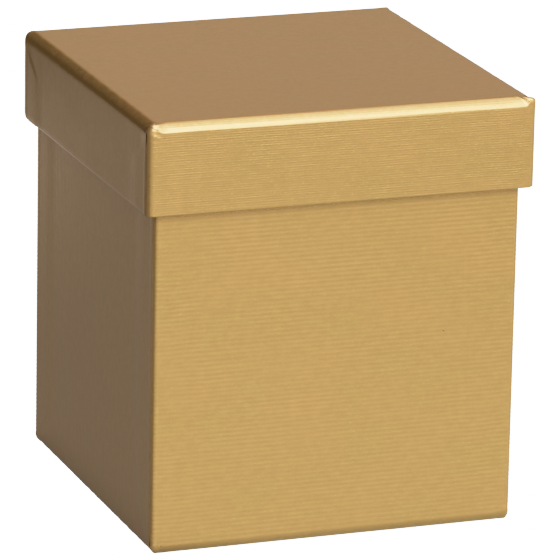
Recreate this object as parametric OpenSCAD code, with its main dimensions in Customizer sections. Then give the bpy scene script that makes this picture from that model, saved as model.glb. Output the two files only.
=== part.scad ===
// Square set-up box with a lift-off lid, for favours.
// Each half is a tray: a creased board, paper stays over its upright corners, a lining inside and
// one cross-shaped sheet of wrapping paper, glued outside and turned in over the rim.
// X runs along the front, Y to the back and Z up. The origin is the middle of the underside.

/* [Base] */
// Width of the base from left to right, over its wrapped corners
base_w = 76.2; // [50:0.1:150]
// Depth of the base from front to back, over its wrapped corners
base_d = 76.2; // [50:0.1:150]
// Height of the base, from what it stands on to its rim
base_h = 86.5; // [50:0.1:200]
// Depth of the paper that is turned in over the base's rim
base_turn_in = 16; // [12:0.5:40]

/* [Lid] */
// Height of the lid, from the rim of its skirt to its top
lid_h = 18; // [16:0.5:40]
// Depth of the paper that is turned in over the lid's rim
lid_turn_in = 12; // [9:0.5:13]
// Play on each side between the base's wrapped corners and the inside of the lid's skirt
lid_gap = 0.22; // [0.12:0.01:0.8]
// Play between the base's rim and the lining of the lid
seat_gap = 0.05; // [0.02:0.01:0.3]

/* [Board and paper] */
// Thickness of the board
board_t = 1.4; // [1:0.1:2.5]
// Thickness of the wrapping paper
wrap_t = 0.14; // [0.1:0.01:0.25]
// Thickness of the lining paper
liner_t = 0.1; // [0.06:0.01:0.2]
// Thickness of the corner stays
stay_t = 0.06; // [0.04:0.01:0.15]

/* [Folds and corners] */
// Radius inside the board's creased folds
crease_r = 0.5; // [0.25:0.05:2]
// Radius of the board's upright corners
corner_r = 0.7; // [0.3:0.05:1.2]
// Radius of the paper where it turns over a rim
rim_r = 0.3; // [0.2:0.02:0.4]
// Width of the slit where a side wall butts against the front or back wall
butt_gap = 0.12; // [0.05:0.01:0.3]

/* [Laps under the wrapping] */
// Reach of a corner stay's arms from its corner
stay_arm = 9.4; // [6:0.1:14]
// Reach of the corner tabs that run from the front and back panels onto the side walls
tab_reach = 8.2; // [5:0.1:12]
// Rise of a corner tab's slanted end, over its whole reach
tab_slant = 5.5; // [2:0.1:8]
// Distance of a side panel's cut edges from the box's corners
panel_setback = 1.2; // [1:0.1:3]
// Size of the cut across each lower corner of a turned-in flap
flap_cut = 7; // [3:0.5:8]

/* [Hidden] */

gold = [0.78, 0.64, 0.39];
grey_board = [0.62, 0.60, 0.56];
kraft = [0.74, 0.60, 0.42];
white_paper = [0.94, 0.93, 0.90];

$fn = 64;
// One overrun serves all cuts
overrun = 1;
// How far the arc of a rolled edge is centred below the rim, as a share of its radius
roll_share = 0.9;

// Sides of a box, as signs along X and Y
left = -1;
right = 1;
front = -1;
back = 1;

// What covers the board at an upright corner: the stay and the paper on the front and back walls,
// and on the side walls also the tab, which lies under the side panel
front_build = stay_t + wrap_t;
side_build = stay_t + 2 * wrap_t;
// What covers the inside of the board at a rim
inner_build = liner_t + wrap_t;
// Outer radius of the board's creased folds, and of the wrapping round them
board_fold_r = crease_r + board_t;
fold_r = board_fold_r + wrap_t;
// Thickness of a tray's floor with its papers
floor_t = wrap_t + board_t + liner_t;

// Width and depth over a tray's board, and the height over its wrapping
base_size = [base_w - 2 * side_build, base_d - 2 * front_build, base_h];
lid_grow = 2 * (lid_gap + inner_build + board_t);
lid_size = [base_w + lid_grow, base_d + lid_grow, lid_h];
// Height of the closed box
closed_h = base_h + seat_gap + floor_t;

// 2D: a rectangle with rounded corners, or with sharp ones if the radius is 0
module rounded(width, depth, r) {
    if (r == 0)
        square([width, depth], center = true);
    else
        union() {
            square([width - 2 * r, depth], center = true);
            square([width, depth - 2 * r], center = true);
            for (side = [left, right], end = [front, back])
                translate([side * (width / 2 - r), end * (depth / 2 - r)])
                    circle(r);
        }
}

// 2D: what rounding takes off a corner that points up and to the right
module corner_waste(r) {
    difference() {
        square(r + overrun);
        circle(r);
    }
}

// 2D: an upright outline with rounded corners at its foot, and at its top if top_r isn't 0
module wall_outline(width, low, high, foot_r, top_r) {
    difference() {
        translate([-width / 2, low])
            square([width, high - low]);
        for (side = [0, 1])
            mirror([side, 0]) {
                if (foot_r > 0)
                    translate([width / 2 - foot_r, low + foot_r])
                        mirror([0, 1])
                            corner_waste(foot_r);
                if (top_r > 0)
                    translate([width / 2 - top_r, high - top_r])
                        corner_waste(top_r);
            }
    }
}

// 2D: a mouth whose edges at the top are rolled over, with arcs that meet the rim at an angle
module mouth_outline(width, low, high, r) {
    translate([-width / 2, low])
        square([width, high + overrun - low]);
    difference() {
        translate([-width / 2 - r, high - r])
            square([width + 2 * r, r + overrun]);
        for (side = [left, right])
            translate([side * (width / 2 + r), high - roll_share * r])
                circle(r);
    }
}

// An upright block with rounded upright corners, from low to high
module upright_block(size, low, high, upright_r) {
    translate([0, 0, low])
        linear_extrude(high - low)
            rounded(size.x, size.y, upright_r);
}

// The same block with a fold round its foot, and its top edges rounded if top_r isn't 0
module folded_block(size, low, high, foot_r, upright_r, top_r = 0) {
    intersection() {
        upright_block(size, low, high, upright_r);
        rotate([90, 0, 0])
            linear_extrude(size.y + 2 * overrun, center = true)
                wall_outline(size.x, low, high, foot_r, top_r);
        rotate([90, 0, 90])
            linear_extrude(size.x + 2 * overrun, center = true)
                wall_outline(size.y, low, high, foot_r, top_r);
    }
}

// The space over one upright corner of a tray's board, as far as reach from the corner
module corner_space(size, side, end, reach, low, high) {
    centre = [side * (size.x / 2 + overrun - (reach + overrun) / 2),
        end * (size.y / 2 + overrun - (reach + overrun) / 2)];
    translate([centre.x, centre.y, (low + high) / 2])
        cube([reach + overrun, reach + overrun, high - low], center = true);
}

function grown(size, by) = [size.x + 2 * by, size.y + 2 * by, size.z];

// One blank of board, creased and folded up: the front and back walls run the full width, and the
// side walls butt between them
module board_tray(size) {
    inside = grown(size, -board_t);
    rim = size.z - wrap_t;
    slit_low = wrap_t + board_fold_r;
    difference() {
        folded_block(size, wrap_t, rim, board_fold_r, corner_r);
        folded_block(inside, wrap_t + board_t, rim + overrun, crease_r, 0);
        for (side = [left, right], end = [front, back])
            translate([side * size.x / 2, end * (inside.y - butt_gap) / 2, (slit_low + rim + overrun) / 2])
                cube([2 * (board_t + overrun), butt_gap, rim + overrun - slit_low], center = true);
    }
}

// Lining paper on the floor and walls
module liner_tray(size) {
    outside = grown(size, -board_t);
    inside = grown(outside, -liner_t);
    rim = size.z - wrap_t;
    difference() {
        folded_block(outside, wrap_t + board_t, rim, crease_r, 0);
        folded_block(inside, floor_t, rim + overrun, crease_r - liner_t, 0);
    }
}

// Paper strip folded over one upright corner of the board
module corner_stay(size, side, end) {
    rim = size.z - wrap_t;
    difference() {
        intersection() {
            upright_block(grown(size, stay_t), fold_r, rim, corner_r + stay_t);
            corner_space(size, side, end, stay_arm, fold_r, rim);
        }
        upright_block(size, fold_r - overrun, rim + overrun, corner_r);
    }
}

// 2D: where a side panel lies over the corner tab at one end, seen along X
module tab_cover(size, end) {
    corner = size.y / 2 + front_build;
    slant_share = panel_setback / tab_reach;
    points = [
        [panel_setback, fold_r + tab_slant * slant_share],
        [tab_reach, fold_r + tab_slant],
        [tab_reach, size.z + overrun],
        [panel_setback, size.z + overrun]
    ];
    polygon([for (p = points) [end * (corner - p.x), p.y]]);
}

// The outside of the wrapping: plain over the panels, proud by a stay at the upright corners, and
// proud by a paper more where the side panels lie over the corner tabs
module wrap_outside(size) {
    rim = size.z;
    folded_block(grown(size, wrap_t), 0, rim, fold_r, corner_r + wrap_t, rim_r);
    over_stays = grown(size, front_build);
    intersection() {
        folded_block(over_stays, 0, rim, fold_r, corner_r + front_build, rim_r);
        for (side = [left, right], end = [front, back])
            corner_space(size, side, end, stay_arm + wrap_t, fold_r, rim + overrun);
    }
    intersection() {
        folded_block(grown(size, side_build), 0, rim, fold_r, corner_r + side_build, rim_r);
        rotate([90, 0, 90])
            linear_extrude(size.x + 2 * overrun, center = true)
                for (end = [front, back])
                    tab_cover(size, end);
    }
}

// 2D: a flap that is turned in over a rim, with its lower corners cut across
module flap(width, rim, depth) {
    half = width / 2;
    polygon([
        [-half, rim + overrun], [-half, rim - depth + flap_cut], [flap_cut - half, rim - depth],
        [half - flap_cut, rim - depth], [half, rim - depth + flap_cut], [half, rim + overrun]
    ]);
}

// The space of the four turned-in flaps, which runs on towards the middle by the overrun
module flaps(size, turn_in) {
    lined = grown(size, -board_t - liner_t);
    thick = wrap_t + overrun;
    for (end = [front, back])
        translate([0, end * (lined.y - thick) / 2, 0])
            rotate([90, 0, 0])
                linear_extrude(thick, center = true)
                    flap(lined.x, size.z, turn_in);
    for (side = [left, right])
        translate([side * (lined.x - thick) / 2, 0, 0])
            rotate([90, 0, 90])
                linear_extrude(thick, center = true)
                    flap(lined.y, size.z, turn_in);
}

// One sheet of wrapping paper: floor, panels, corner tabs, rims and turned-in flaps
module wrap_tray(size, turn_in) {
    rim = size.z;
    mouth = grown(size, -board_t - inner_build);
    difference() {
        wrap_outside(size);
        difference() {
            folded_block(size, wrap_t, rim - wrap_t, board_fold_r, corner_r);
            flaps(size, turn_in);
        }
        for (side = [left, right], end = [front, back])
            corner_stay(size, side, end);
        intersection() {
            rotate([90, 0, 0])
                linear_extrude(mouth.y + 2 * overrun, center = true)
                    mouth_outline(mouth.x, floor_t, rim, rim_r);
            rotate([90, 0, 90])
                linear_extrude(mouth.x + 2 * overrun, center = true)
                    mouth_outline(mouth.y, floor_t, rim, rim_r);
        }
    }
}

// Turns a tray over and sets it on the base as the lid
module as_lid() {
    translate([0, 0, closed_h])
        mirror([0, 0, 1])
            children();
}

module base_board() { color(grey_board) board_tray(base_size); }
module base_liner() { color(white_paper) liner_tray(base_size); }
module base_wrap() { color(gold) wrap_tray(base_size, base_turn_in); }
module base_stay(side, end) { color(kraft) corner_stay(base_size, side, end); }

module lid_board() { color(grey_board) as_lid() board_tray(lid_size); }
module lid_liner() { color(white_paper) as_lid() liner_tray(lid_size); }
module lid_wrap() { color(gold) as_lid() wrap_tray(lid_size, lid_turn_in); }
module lid_stay(side, end) { color(kraft) as_lid() corner_stay(lid_size, side, end); }

base_board();
base_liner();
base_wrap();
base_stay(left, front);  // base_stay_front_left
base_stay(right, front);  // base_stay_front_right
base_stay(left, back);  // base_stay_back_left
base_stay(right, back);  // base_stay_back_right
lid_board();
lid_liner();
lid_wrap();
lid_stay(left, front);  // lid_stay_front_left
lid_stay(right, front);  // lid_stay_front_right
lid_stay(left, back);  // lid_stay_back_left
lid_stay(right, back);  // lid_stay_back_right
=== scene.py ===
"""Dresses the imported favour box: two board trays, each wrapped in one sheet of ribbed gold paper.

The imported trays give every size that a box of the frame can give. The wrapping sheets are modelled here
as what they are, cross-shaped sheets folded round the board, with their ribs, laps and turned-in flaps.
"""

import logging
import math
from collections.abc import Callable
from dataclasses import dataclass, field, replace
from enum import Enum
from typing import Self

import bpy
import numpy as np
from mathutils import Matrix, Vector


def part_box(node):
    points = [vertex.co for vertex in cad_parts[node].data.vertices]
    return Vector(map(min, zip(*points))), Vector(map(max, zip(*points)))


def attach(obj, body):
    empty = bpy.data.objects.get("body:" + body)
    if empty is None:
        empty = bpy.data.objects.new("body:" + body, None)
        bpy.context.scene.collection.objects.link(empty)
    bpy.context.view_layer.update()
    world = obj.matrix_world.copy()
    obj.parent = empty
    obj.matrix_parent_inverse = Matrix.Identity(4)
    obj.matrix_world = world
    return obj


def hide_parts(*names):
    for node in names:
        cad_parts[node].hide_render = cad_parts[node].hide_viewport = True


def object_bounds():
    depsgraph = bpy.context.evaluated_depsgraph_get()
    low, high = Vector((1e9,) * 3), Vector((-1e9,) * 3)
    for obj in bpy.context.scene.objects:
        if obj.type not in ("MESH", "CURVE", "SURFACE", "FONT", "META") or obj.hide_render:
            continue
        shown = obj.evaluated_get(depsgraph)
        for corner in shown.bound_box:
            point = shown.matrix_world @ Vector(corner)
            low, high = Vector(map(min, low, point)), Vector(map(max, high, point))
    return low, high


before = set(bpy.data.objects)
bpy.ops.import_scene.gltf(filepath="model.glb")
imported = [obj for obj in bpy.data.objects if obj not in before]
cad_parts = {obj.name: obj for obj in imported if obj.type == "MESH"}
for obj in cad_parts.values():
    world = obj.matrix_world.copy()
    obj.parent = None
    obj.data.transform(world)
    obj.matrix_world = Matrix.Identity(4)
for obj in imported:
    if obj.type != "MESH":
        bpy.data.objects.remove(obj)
cad_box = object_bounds()

MM = 0.001
TINY = 1e-9
QUARTER = math.pi / 2
RIGHT, LEFT = (1.0, 0.0, 0.0), (-1.0, 0.0, 0.0)
BACK, FRONT = (0.0, 1.0, 0.0), (0.0, -1.0, 0.0)
UP, DOWN = (0.0, 0.0, 1.0), (0.0, 0.0, -1.0)
BLACK = (0.0, 0.0, 0.0, 1.0)
LOG = logging.getLogger("favour_box")

Range = tuple[float, float]
Triple = tuple[float, float, float]
Colour = Triple
Socket = bpy.types.NodeSocket
Sockets = dict[str, Socket]


class Body(Enum):
    """The two bodies of the box."""

    BASE = "base"
    LID = "lid"


class Slot(Enum):
    """Names of material slots, passed along with each new piece."""

    WRAP = "gold_paper"
    BOARD = "chipboard"
    STAY = "stay_paper"


class Corner(Enum):
    """The upright corners of a tray, each as its side along x and its end along y."""

    FRONT_LEFT = (-1, -1)
    FRONT_RIGHT = (1, -1)
    BACK_LEFT = (-1, 1)
    BACK_RIGHT = (1, 1)


def smooth(low: float, high: float, value: np.ndarray) -> np.ndarray:
    """Eases from 0 at low to 1 at high.

    Args:
        low: Value at which the result is still 0.
        high: Value at which the result is 1.
        value: Values to ease.

    Returns:
        The eased values.
    """
    share = np.clip((value - low) / (high - low), 0.0, 1.0)
    return share * share * (3.0 - 2.0 * share)


def bell(value: np.ndarray, middle: float | np.ndarray, spread: float) -> np.ndarray:
    """Rises to 1 at the middle and falls off on both sides over the spread."""
    return np.exp(-((value - middle) / spread) ** 2)


def mid_bend(angle: np.ndarray) -> np.ndarray:
    """Tells how near an angle is to the middle of a quarter turn: 1 there, 0 at its ends and beyond."""
    return np.sin(2 * np.minimum(angle, QUARTER))


def stood(name: str, data: bpy.types.ID) -> bpy.types.Object:
    """Puts a mesh or a camera in the scene as an object.

    Args:
        name: Name of the object.
        data: The mesh or camera.

    Returns:
        The new object.
    """
    piece = bpy.data.objects.new(name, data)
    bpy.context.scene.collection.objects.link(piece)
    return piece


@dataclass(frozen=True)
class Waves:
    """A smooth uneven field: a sum of plane waves.

    Attributes:
        seed: Seed of the waves.
        longest, shortest: Longest and shortest wave.
        count: How many there are.
        crest: Height that the sum of waves of unit strength is divided by.
    """

    seed: int
    longest: float
    shortest: float
    count: int = 14
    crest: float = 1.6

    def at(self, along: np.ndarray, across: np.ndarray) -> np.ndarray:
        """Reads the field.

        Args:
            along: First coordinate of each point.
            across: Second coordinate of each point.

        Returns:
            Values of about -1 to 1.
        """
        draw = np.random.default_rng(self.seed)
        total = np.zeros_like(np.asarray(along + across, dtype=float))
        for _ in range(self.count):
            length = math.exp(draw.uniform(math.log(self.shortest), math.log(self.longest)))
            turn, phase = draw.uniform(0, 2 * math.pi, 2)
            wave = 2 * math.pi / length
            total += np.sin(wave * (math.cos(turn) * along + math.sin(turn) * across) + phase)
        return total / math.sqrt(self.count / 2) / self.crest


@dataclass(frozen=True)
class RibbedStock:
    """The ribbed paper itself.

    Attributes:
        thickness: Thickness that shows at a cut edge.
        rib_pitch: Distance from rib to rib.
        rib_depth: Depth of the hollows between the ribs.
        pairing, pair_phase: Share of the relief that repeats twice in a rib, and where it starts.
        groove: How narrow the hollows are; 1 is a plain wave.
        steps_per_rib: Mesh lines to a rib.
        skew: Slope of the ribs on the sheet.
        fold_gain: How much deeper the ribs are in the middle of the floor's fold.
        bend_gain: How much deeper they are round an upright corner.
        flattening: Share of the buckles that a fold or a bend takes out.
        cockle_depth: Depth of the buckles of a sheet that was glued down wet.
        crush_depth: Depth of the dents along a fold that was pressed by hand.
        wander, wander_share: Field that bends the ribs, and its share.
        strength, strength_share: Field that deepens the ribs, and its share.
        cockle: Field of the buckles.
        crush: Field of the dents.
    """

    thickness: float = 0.12 * MM
    rib_pitch: float = 0.936 * MM
    rib_depth: float = 0.0175 * MM
    pairing: float = 0.15
    pair_phase: float = 0.6
    groove: float = 2.0
    steps_per_rib: int = 5
    skew: float = 0.0
    fold_gain: float = 2.2
    bend_gain: float = 3.5
    flattening: float = 0.7
    cockle_depth: float = 0.02 * MM
    crush_depth: float = 0.07 * MM
    wander: Waves = Waves(11, 30 * MM, 9 * MM)
    wander_share: float = 0.5
    strength: Waves = Waves(12, 24 * MM, 5 * MM)
    strength_share: float = 0.35
    cockle: Waves = Waves(13, 60 * MM, 22 * MM)
    crush: Waves = Waves(14, 7 * MM, 1.6 * MM)

    @property
    def step(self) -> float:
        """Distance between mesh lines across the ribs."""
        return self.rib_pitch / self.steps_per_rib

    def relief(self, along: np.ndarray, across: np.ndarray) -> np.ndarray:
        """Finds how far the face lies below the tops of the ribs.

        Args:
            along: Distance along the ribs, on the flat sheet.
            across: Distance across the ribs, on the flat sheet.

        Returns:
            Depths, from 0 to about the rib depth.
        """
        across = across + self.skew * along
        phase = 2 * math.pi * across / self.rib_pitch + self.wander_share * self.wander.at(along, across)
        depth = self.rib_depth * (1.0 + self.strength_share * self.strength.at(along, across))
        single = (0.5 - 0.5 * np.cos(phase)) ** self.groove
        double = 0.5 - 0.5 * np.cos(2 * phase + self.pair_phase)
        return depth * ((1 - self.pairing) * single + self.pairing * double)

    def buckle(self, along: np.ndarray, across: np.ndarray) -> np.ndarray:
        """Finds the depth of the buckles at places on the flat sheet."""
        return self.cockle_depth * np.clip(0.5 + 0.5 * self.cockle.at(along, across), 0, 1)

    def dents(self, along: np.ndarray, across: np.ndarray) -> np.ndarray:
        """Finds the depth of the fold's dents at places on the flat sheet."""
        return self.crush_depth * np.clip(0.5 + 0.5 * self.crush.at(along, across), 0, 1)

    def sunk(self, place: np.ndarray, fold: np.ndarray, turn: np.ndarray) -> np.ndarray:
        """Finds how far the face lies below the smooth form: ribs, buckles and dents.

        Args:
            place: Place on the flat sheet.
            fold: Angle turned round the floor's fold.
            turn: Angle turned round the upright corner.

        Returns:
            Depths along the normal.
        """
        along, across = place[..., 0], place[..., 1]
        folding, bending = mid_bend(fold) ** 2, mid_bend(turn) ** 2
        gain = 1 + (self.fold_gain - 1) * folding + (self.bend_gain - 1) * bending
        flat = 1 - self.flattening * np.maximum(folding, bending)
        depth = gain * self.relief(along, across) + flat * self.buckle(along, across)
        return depth + folding * self.dents(along, across)


@dataclass(frozen=True)
class Laps:
    """What lies under the wrapping and shows through it.

    Attributes:
        stay_arm: Reach of a stay's arms from its corner.
        stay_ease: Length over which the paper comes down from a stay on the front and back.
        tab_reach: Reach of a corner tab onto the side wall.
        tab_slant: Rise of a tab's slanted end over its reach.
        tab_clear: Length that a tab gives up at its slanted end.
        tab_ease: Length over which the paper comes down from a tab or a stay on the sides.
        tab_show: Share of a tab's thickness that shows.
        slant_ease: Half the height over which the paper rises onto the slanted end.
        lap_ease: Distance from the corner at which the lap starts to show.
        lap_full: Distance from the corner at which it shows in full.
        pressed_edge: Width of the strip along a side panel's cut edge that was pressed down.
        pressed_share: Share of the lap by which it was pressed.
        edge_shown: Share of the cut edge's thickness that stays open.
        foot: Heights over the floor's fold between which its lift goes over into being pressed.
        flap_cut: Size of the cut across each lower corner of a turned-in flap.
        settled: Angles of the floor's fold between which the paper comes to lie on the wall.
    """

    stay_arm: float = 9.4 * MM
    stay_ease: float = 1.6 * MM
    tab_reach: float = 8.2 * MM
    tab_slant: float = 5.5 * MM
    tab_clear: float = 1.6 * MM
    tab_ease: float = 3.6 * MM
    tab_show: float = 0.6
    slant_ease: float = 0.25 * MM
    lap_ease: float = 5.4 * MM
    lap_full: float = 1.0 * MM
    pressed_edge: float = 0.6 * MM
    pressed_share: float = 0.6
    edge_shown: float = 0.2
    foot: Range = (0.8 * MM, 2.4 * MM)
    flap_cut: float = 7 * MM
    settled: Range = (0.8, 1.5)

    def laid(self, fold: np.ndarray) -> np.ndarray:
        """Tells how far the paper lies on the wall: 0 in the fold, 1 past it."""
        return smooth(*self.settled, fold)


@dataclass(frozen=True)
class CornerFold:
    """How the paper was gathered at one corner of a tray.

    Attributes:
        seed: Seed of the dents.
        fullness: How squarely the end of the floor's fold stands.
        breadth: How squarely it ends sideways.
        gather: Distance from the corner at which it starts to stand squarely.
        onset: Share of gather within which it does so in full.
        rim: Radius of the rim's corner, seen from the side.
        seam_shade: How dark the painted shade along the seam is.
        ear: Height of the pleat over the fold.
        setback: Distance of the side panel's cut edge from the corner.
        upright: Radius of the board's upright corner.
        crumple: Depth of the dents.
        lift: How far the cut edge stands off at the foot, or less than 0 where it is pressed in.
        scuff: How much the corner was knocked.
    """

    seed: int
    fullness: float
    breadth: float = 0.25
    gather: float = 2.6 * MM
    onset: float = 0.35
    rim: float = 0.0
    seam_shade: float = 0.0
    ear: float = 0.05 * MM
    setback: float = 1.2 * MM
    upright: float = 0.7 * MM
    crumple: float = 0.05 * MM
    lift: float = 0.03 * MM
    scuff: float = 0.25


@dataclass(frozen=True)
class Pleat:
    """The form that gathered folds share at every corner.

    Attributes:
        squared: Share of the fold that full gathering squares off.
        widened: Share that full breadth squares off sideways.
        ear_place, ear_spread: How far the ear lies under the top of the fold, and how far it spreads.
        ear_out: Share of the ear's height by which it also stands out sideways.
        ridge, ridge_spread: Distance of the pleat's ridge from the corner, and its width.
        valley, valley_spread: The same for the valley beside it.
        valley_depth: Depth of the valley, as a share of the ridge's height.
        fade: Height over the floor's fold at which the pleat has run out.
        raised: Angles of the fold between which the pleat rises.
        tuck, tucked: How much farther a tab runs in below the side panel, and between which angles.
        lean, leant: How far a tab's end leans in, and between which angles.
        seam_shaded: Angles round the upright corner between which the painted shade of its seam comes in.
        dent_longest, dent_shortest: Longest and shortest wave of the dents.
        dent_level: Level that the dents vary about.
        dent_out: How far a dent may stand out.
    """

    squared: float = 0.75
    widened: float = 0.5
    ear_place: float = 0.3 * MM
    ear_spread: float = 0.8 * MM
    ear_out: float = 0.5
    ridge: float = 0.75 * MM
    ridge_spread: float = 0.5 * MM
    valley: float = 1.9 * MM
    valley_spread: float = 0.4 * MM
    valley_depth: float = 0.2
    fade: float = 1.6 * MM
    raised: Range = (0.45, 0.9)
    tuck: float = 0.5 * MM
    tucked: Range = (0.45, 1.2)
    lean: float = 0.04 * MM
    leant: Range = (0.4, 0.8)
    seam_shaded: Range = (0.9, 1.6)
    dent_longest: float = 4.5 * MM
    dent_shortest: float = 1.1 * MM
    dent_level: float = 0.4
    dent_out: float = 0.05 * MM

    def height(self, inset: np.ndarray, turn: np.ndarray) -> np.ndarray:
        """Gives the pleat's height over an end panel, as a share of the ear's.

        Args:
            inset: Distance from the corner.
            turn: Angle turned round the upright corner.

        Returns:
            The shares, below 0 in the valley.
        """
        valley = self.valley_depth * bell(inset, self.valley, self.valley_spread)
        return (bell(inset, self.ridge, self.ridge_spread) - valley) * np.cos(turn)


@dataclass(frozen=True)
class RimEase:
    """How the corners of a tray's rim are rounded off, seen from the side.

    Attributes:
        half_x, half_y: Half width and half depth of the tray.
        height: Height of its rim.
        corners: How the paper was gathered at each corner.
        reach: How far below the rim the rounding runs out.
    """

    half_x: float
    half_y: float
    height: float
    corners: dict[Corner, CornerFold]
    reach: float = 4.0 * MM

    @property
    def sharp(self) -> bool:
        """Tells whether no corner is rounded."""
        return not any(fold.rim for fold in self.corners.values())

    def settled(self, points: np.ndarray) -> np.ndarray:
        """Lowers what lies near the rim's corners.

        Args:
            points: Points of a piece of the tray.

        Returns:
            The points after rounding.
        """
        if self.sharp:
            return points
        x, y, height = points[..., 0], points[..., 1], points[..., 2]
        radius = np.zeros(x.shape)
        for corner, fold in self.corners.items():
            side, end = corner.value
            radius = np.where((side * x > 0) & (end * y > 0), fold.rim, radius)
        gap = np.maximum(self.half_x - np.abs(x), self.half_y - np.abs(y))
        drop = radius - np.sqrt(np.maximum(radius * radius - np.clip(radius - gap, 0, radius) ** 2, 0))
        lowered = points.copy()
        lowered[..., 2] -= drop * smooth(self.height - self.reach, self.height, height)
        return lowered


@dataclass(frozen=True)
class RimShade:
    """Painted shade under the other tray's rim: a dark band along the rim and a fainter one below it.

    Attributes:
        rim: Height of the other tray's rim, or None where no shade is painted.
        band: Depths under the rim between which the band ends.
        start: Depths under the rim between which the band sets in; less than 0 is over it.
        faint_band: Depths under the rim between which the fainter one ends.
        faint: Strength of the fainter one.
    """

    rim: float | None = None
    band: Range = (1.0 * MM, 1.3 * MM)
    start: Range = (-0.6 * MM, -0.3 * MM)
    faint_band: Range = (1.5 * MM, 2.0 * MM)
    faint: float = 0.35

    def at(self, up: np.ndarray) -> np.ndarray:
        """Tells how much painted shade lies at a height: 1 in the band, 0 away from it."""
        if self.rim is None:
            return 0 * up
        below = self.rim - up
        mark = smooth(*self.band[::-1], below) * smooth(*self.start, below)
        return np.maximum(mark, self.faint * smooth(*self.faint_band[::-1], below) * (below > 0))


class Arrays:
    """A set of arrays that are changed alike."""

    def each(self, change: Callable[[np.ndarray], np.ndarray]) -> Self:
        """Changes every array in the same way.

        Args:
            change: What is done to each.

        Returns:
            The changed set.
        """
        return replace(self, **{name: change(values) for name, values in vars(self).items()})


@dataclass
class Profile(Arrays):
    """Stations of a path that runs from the middle of a tray's floor out, up the wall and in over the rim.

    Attributes:
        out, up: Distance from the middle and height.
        normal_out, normal_up: The normal along each.
        distance: Distance along the path.
        fold: Angle turned so far round the floor's fold.
        share: How much of a station is outside: 1 up to the rim, falling to 0 inside.
    """

    out: np.ndarray
    up: np.ndarray
    normal_out: np.ndarray
    normal_up: np.ndarray
    distance: np.ndarray
    fold: np.ndarray
    share: np.ndarray

    @property
    def inside(self) -> np.ndarray:
        """Tells which stations lie on the turned-in flap."""
        return np.isclose(self.normal_out, -1)

    def beyond(self, start: float) -> Self:
        """Keeps only the stations at start or farther along the path."""
        keep = self.distance >= start - TINY
        return self.each(lambda values: values[keep])

    def columns(self) -> Self:
        """Stands every array upright, a station to a row."""
        return self.each(lambda values: values[:, None])


@dataclass
class Patch(Arrays):
    """A grid of points of a sheet, rows by columns, with what the finish needs to know.

    Attributes:
        points, normals: Points of the outer face and their normals.
        place: Place on the flat sheet, along and across the ribs.
        wear: How much a place stands out.
        scuff: How much it was knocked.
        rub: How much painted shade lies there, under the other tray's rim and along the seams.
        cut: 1 on a cut edge, 0 away from it.
        free: How far a cut edge stands free there, from 0 to 1.
    """

    points: np.ndarray
    normals: np.ndarray
    place: np.ndarray
    wear: np.ndarray
    scuff: np.ndarray
    rub: np.ndarray
    cut: np.ndarray
    free: np.ndarray

    def turned(self) -> Self:
        """Swaps rows and columns."""
        return self.each(lambda values: np.swapaxes(values, 0, 1))

    def reversed(self) -> Self:
        """Turns the order of the rows round."""
        return self.each(lambda values: values[::-1])

    def hemmed(self, thickness: float, swell: float = 0.05) -> Self:
        """Adds the cut edge along the last row, where it is free.

        Args:
            thickness: Thickness of the paper.
            swell: How far the cut stands out, as a share of that.

        Returns:
            The patch with two more rows: the upper and the lower rim of the cut.
        """
        bare = self.free[-1][..., None]
        onward = self.points[-1] - self.points[-2]
        length = np.maximum(np.linalg.norm(onward, axis=-1, keepdims=True), TINY)
        upper = self.points[-1] + swell * thickness * bare * onward / length
        lower = upper - thickness * bare * self.normals[-1]
        grown = self.each(lambda values: np.concatenate([values, values[-1:], values[-1:]]))
        grown.points = np.concatenate([self.points, upper[None], lower[None]])
        grown.cut[-2:] = self.free[-1]
        return grown

    def framed(self, thickness: float) -> Self:
        """Adds the cut edge along the last row and both outer columns."""
        sides = self.hemmed(thickness).turned().hemmed(thickness)
        return sides.reversed().hemmed(thickness).reversed().turned()


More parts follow.
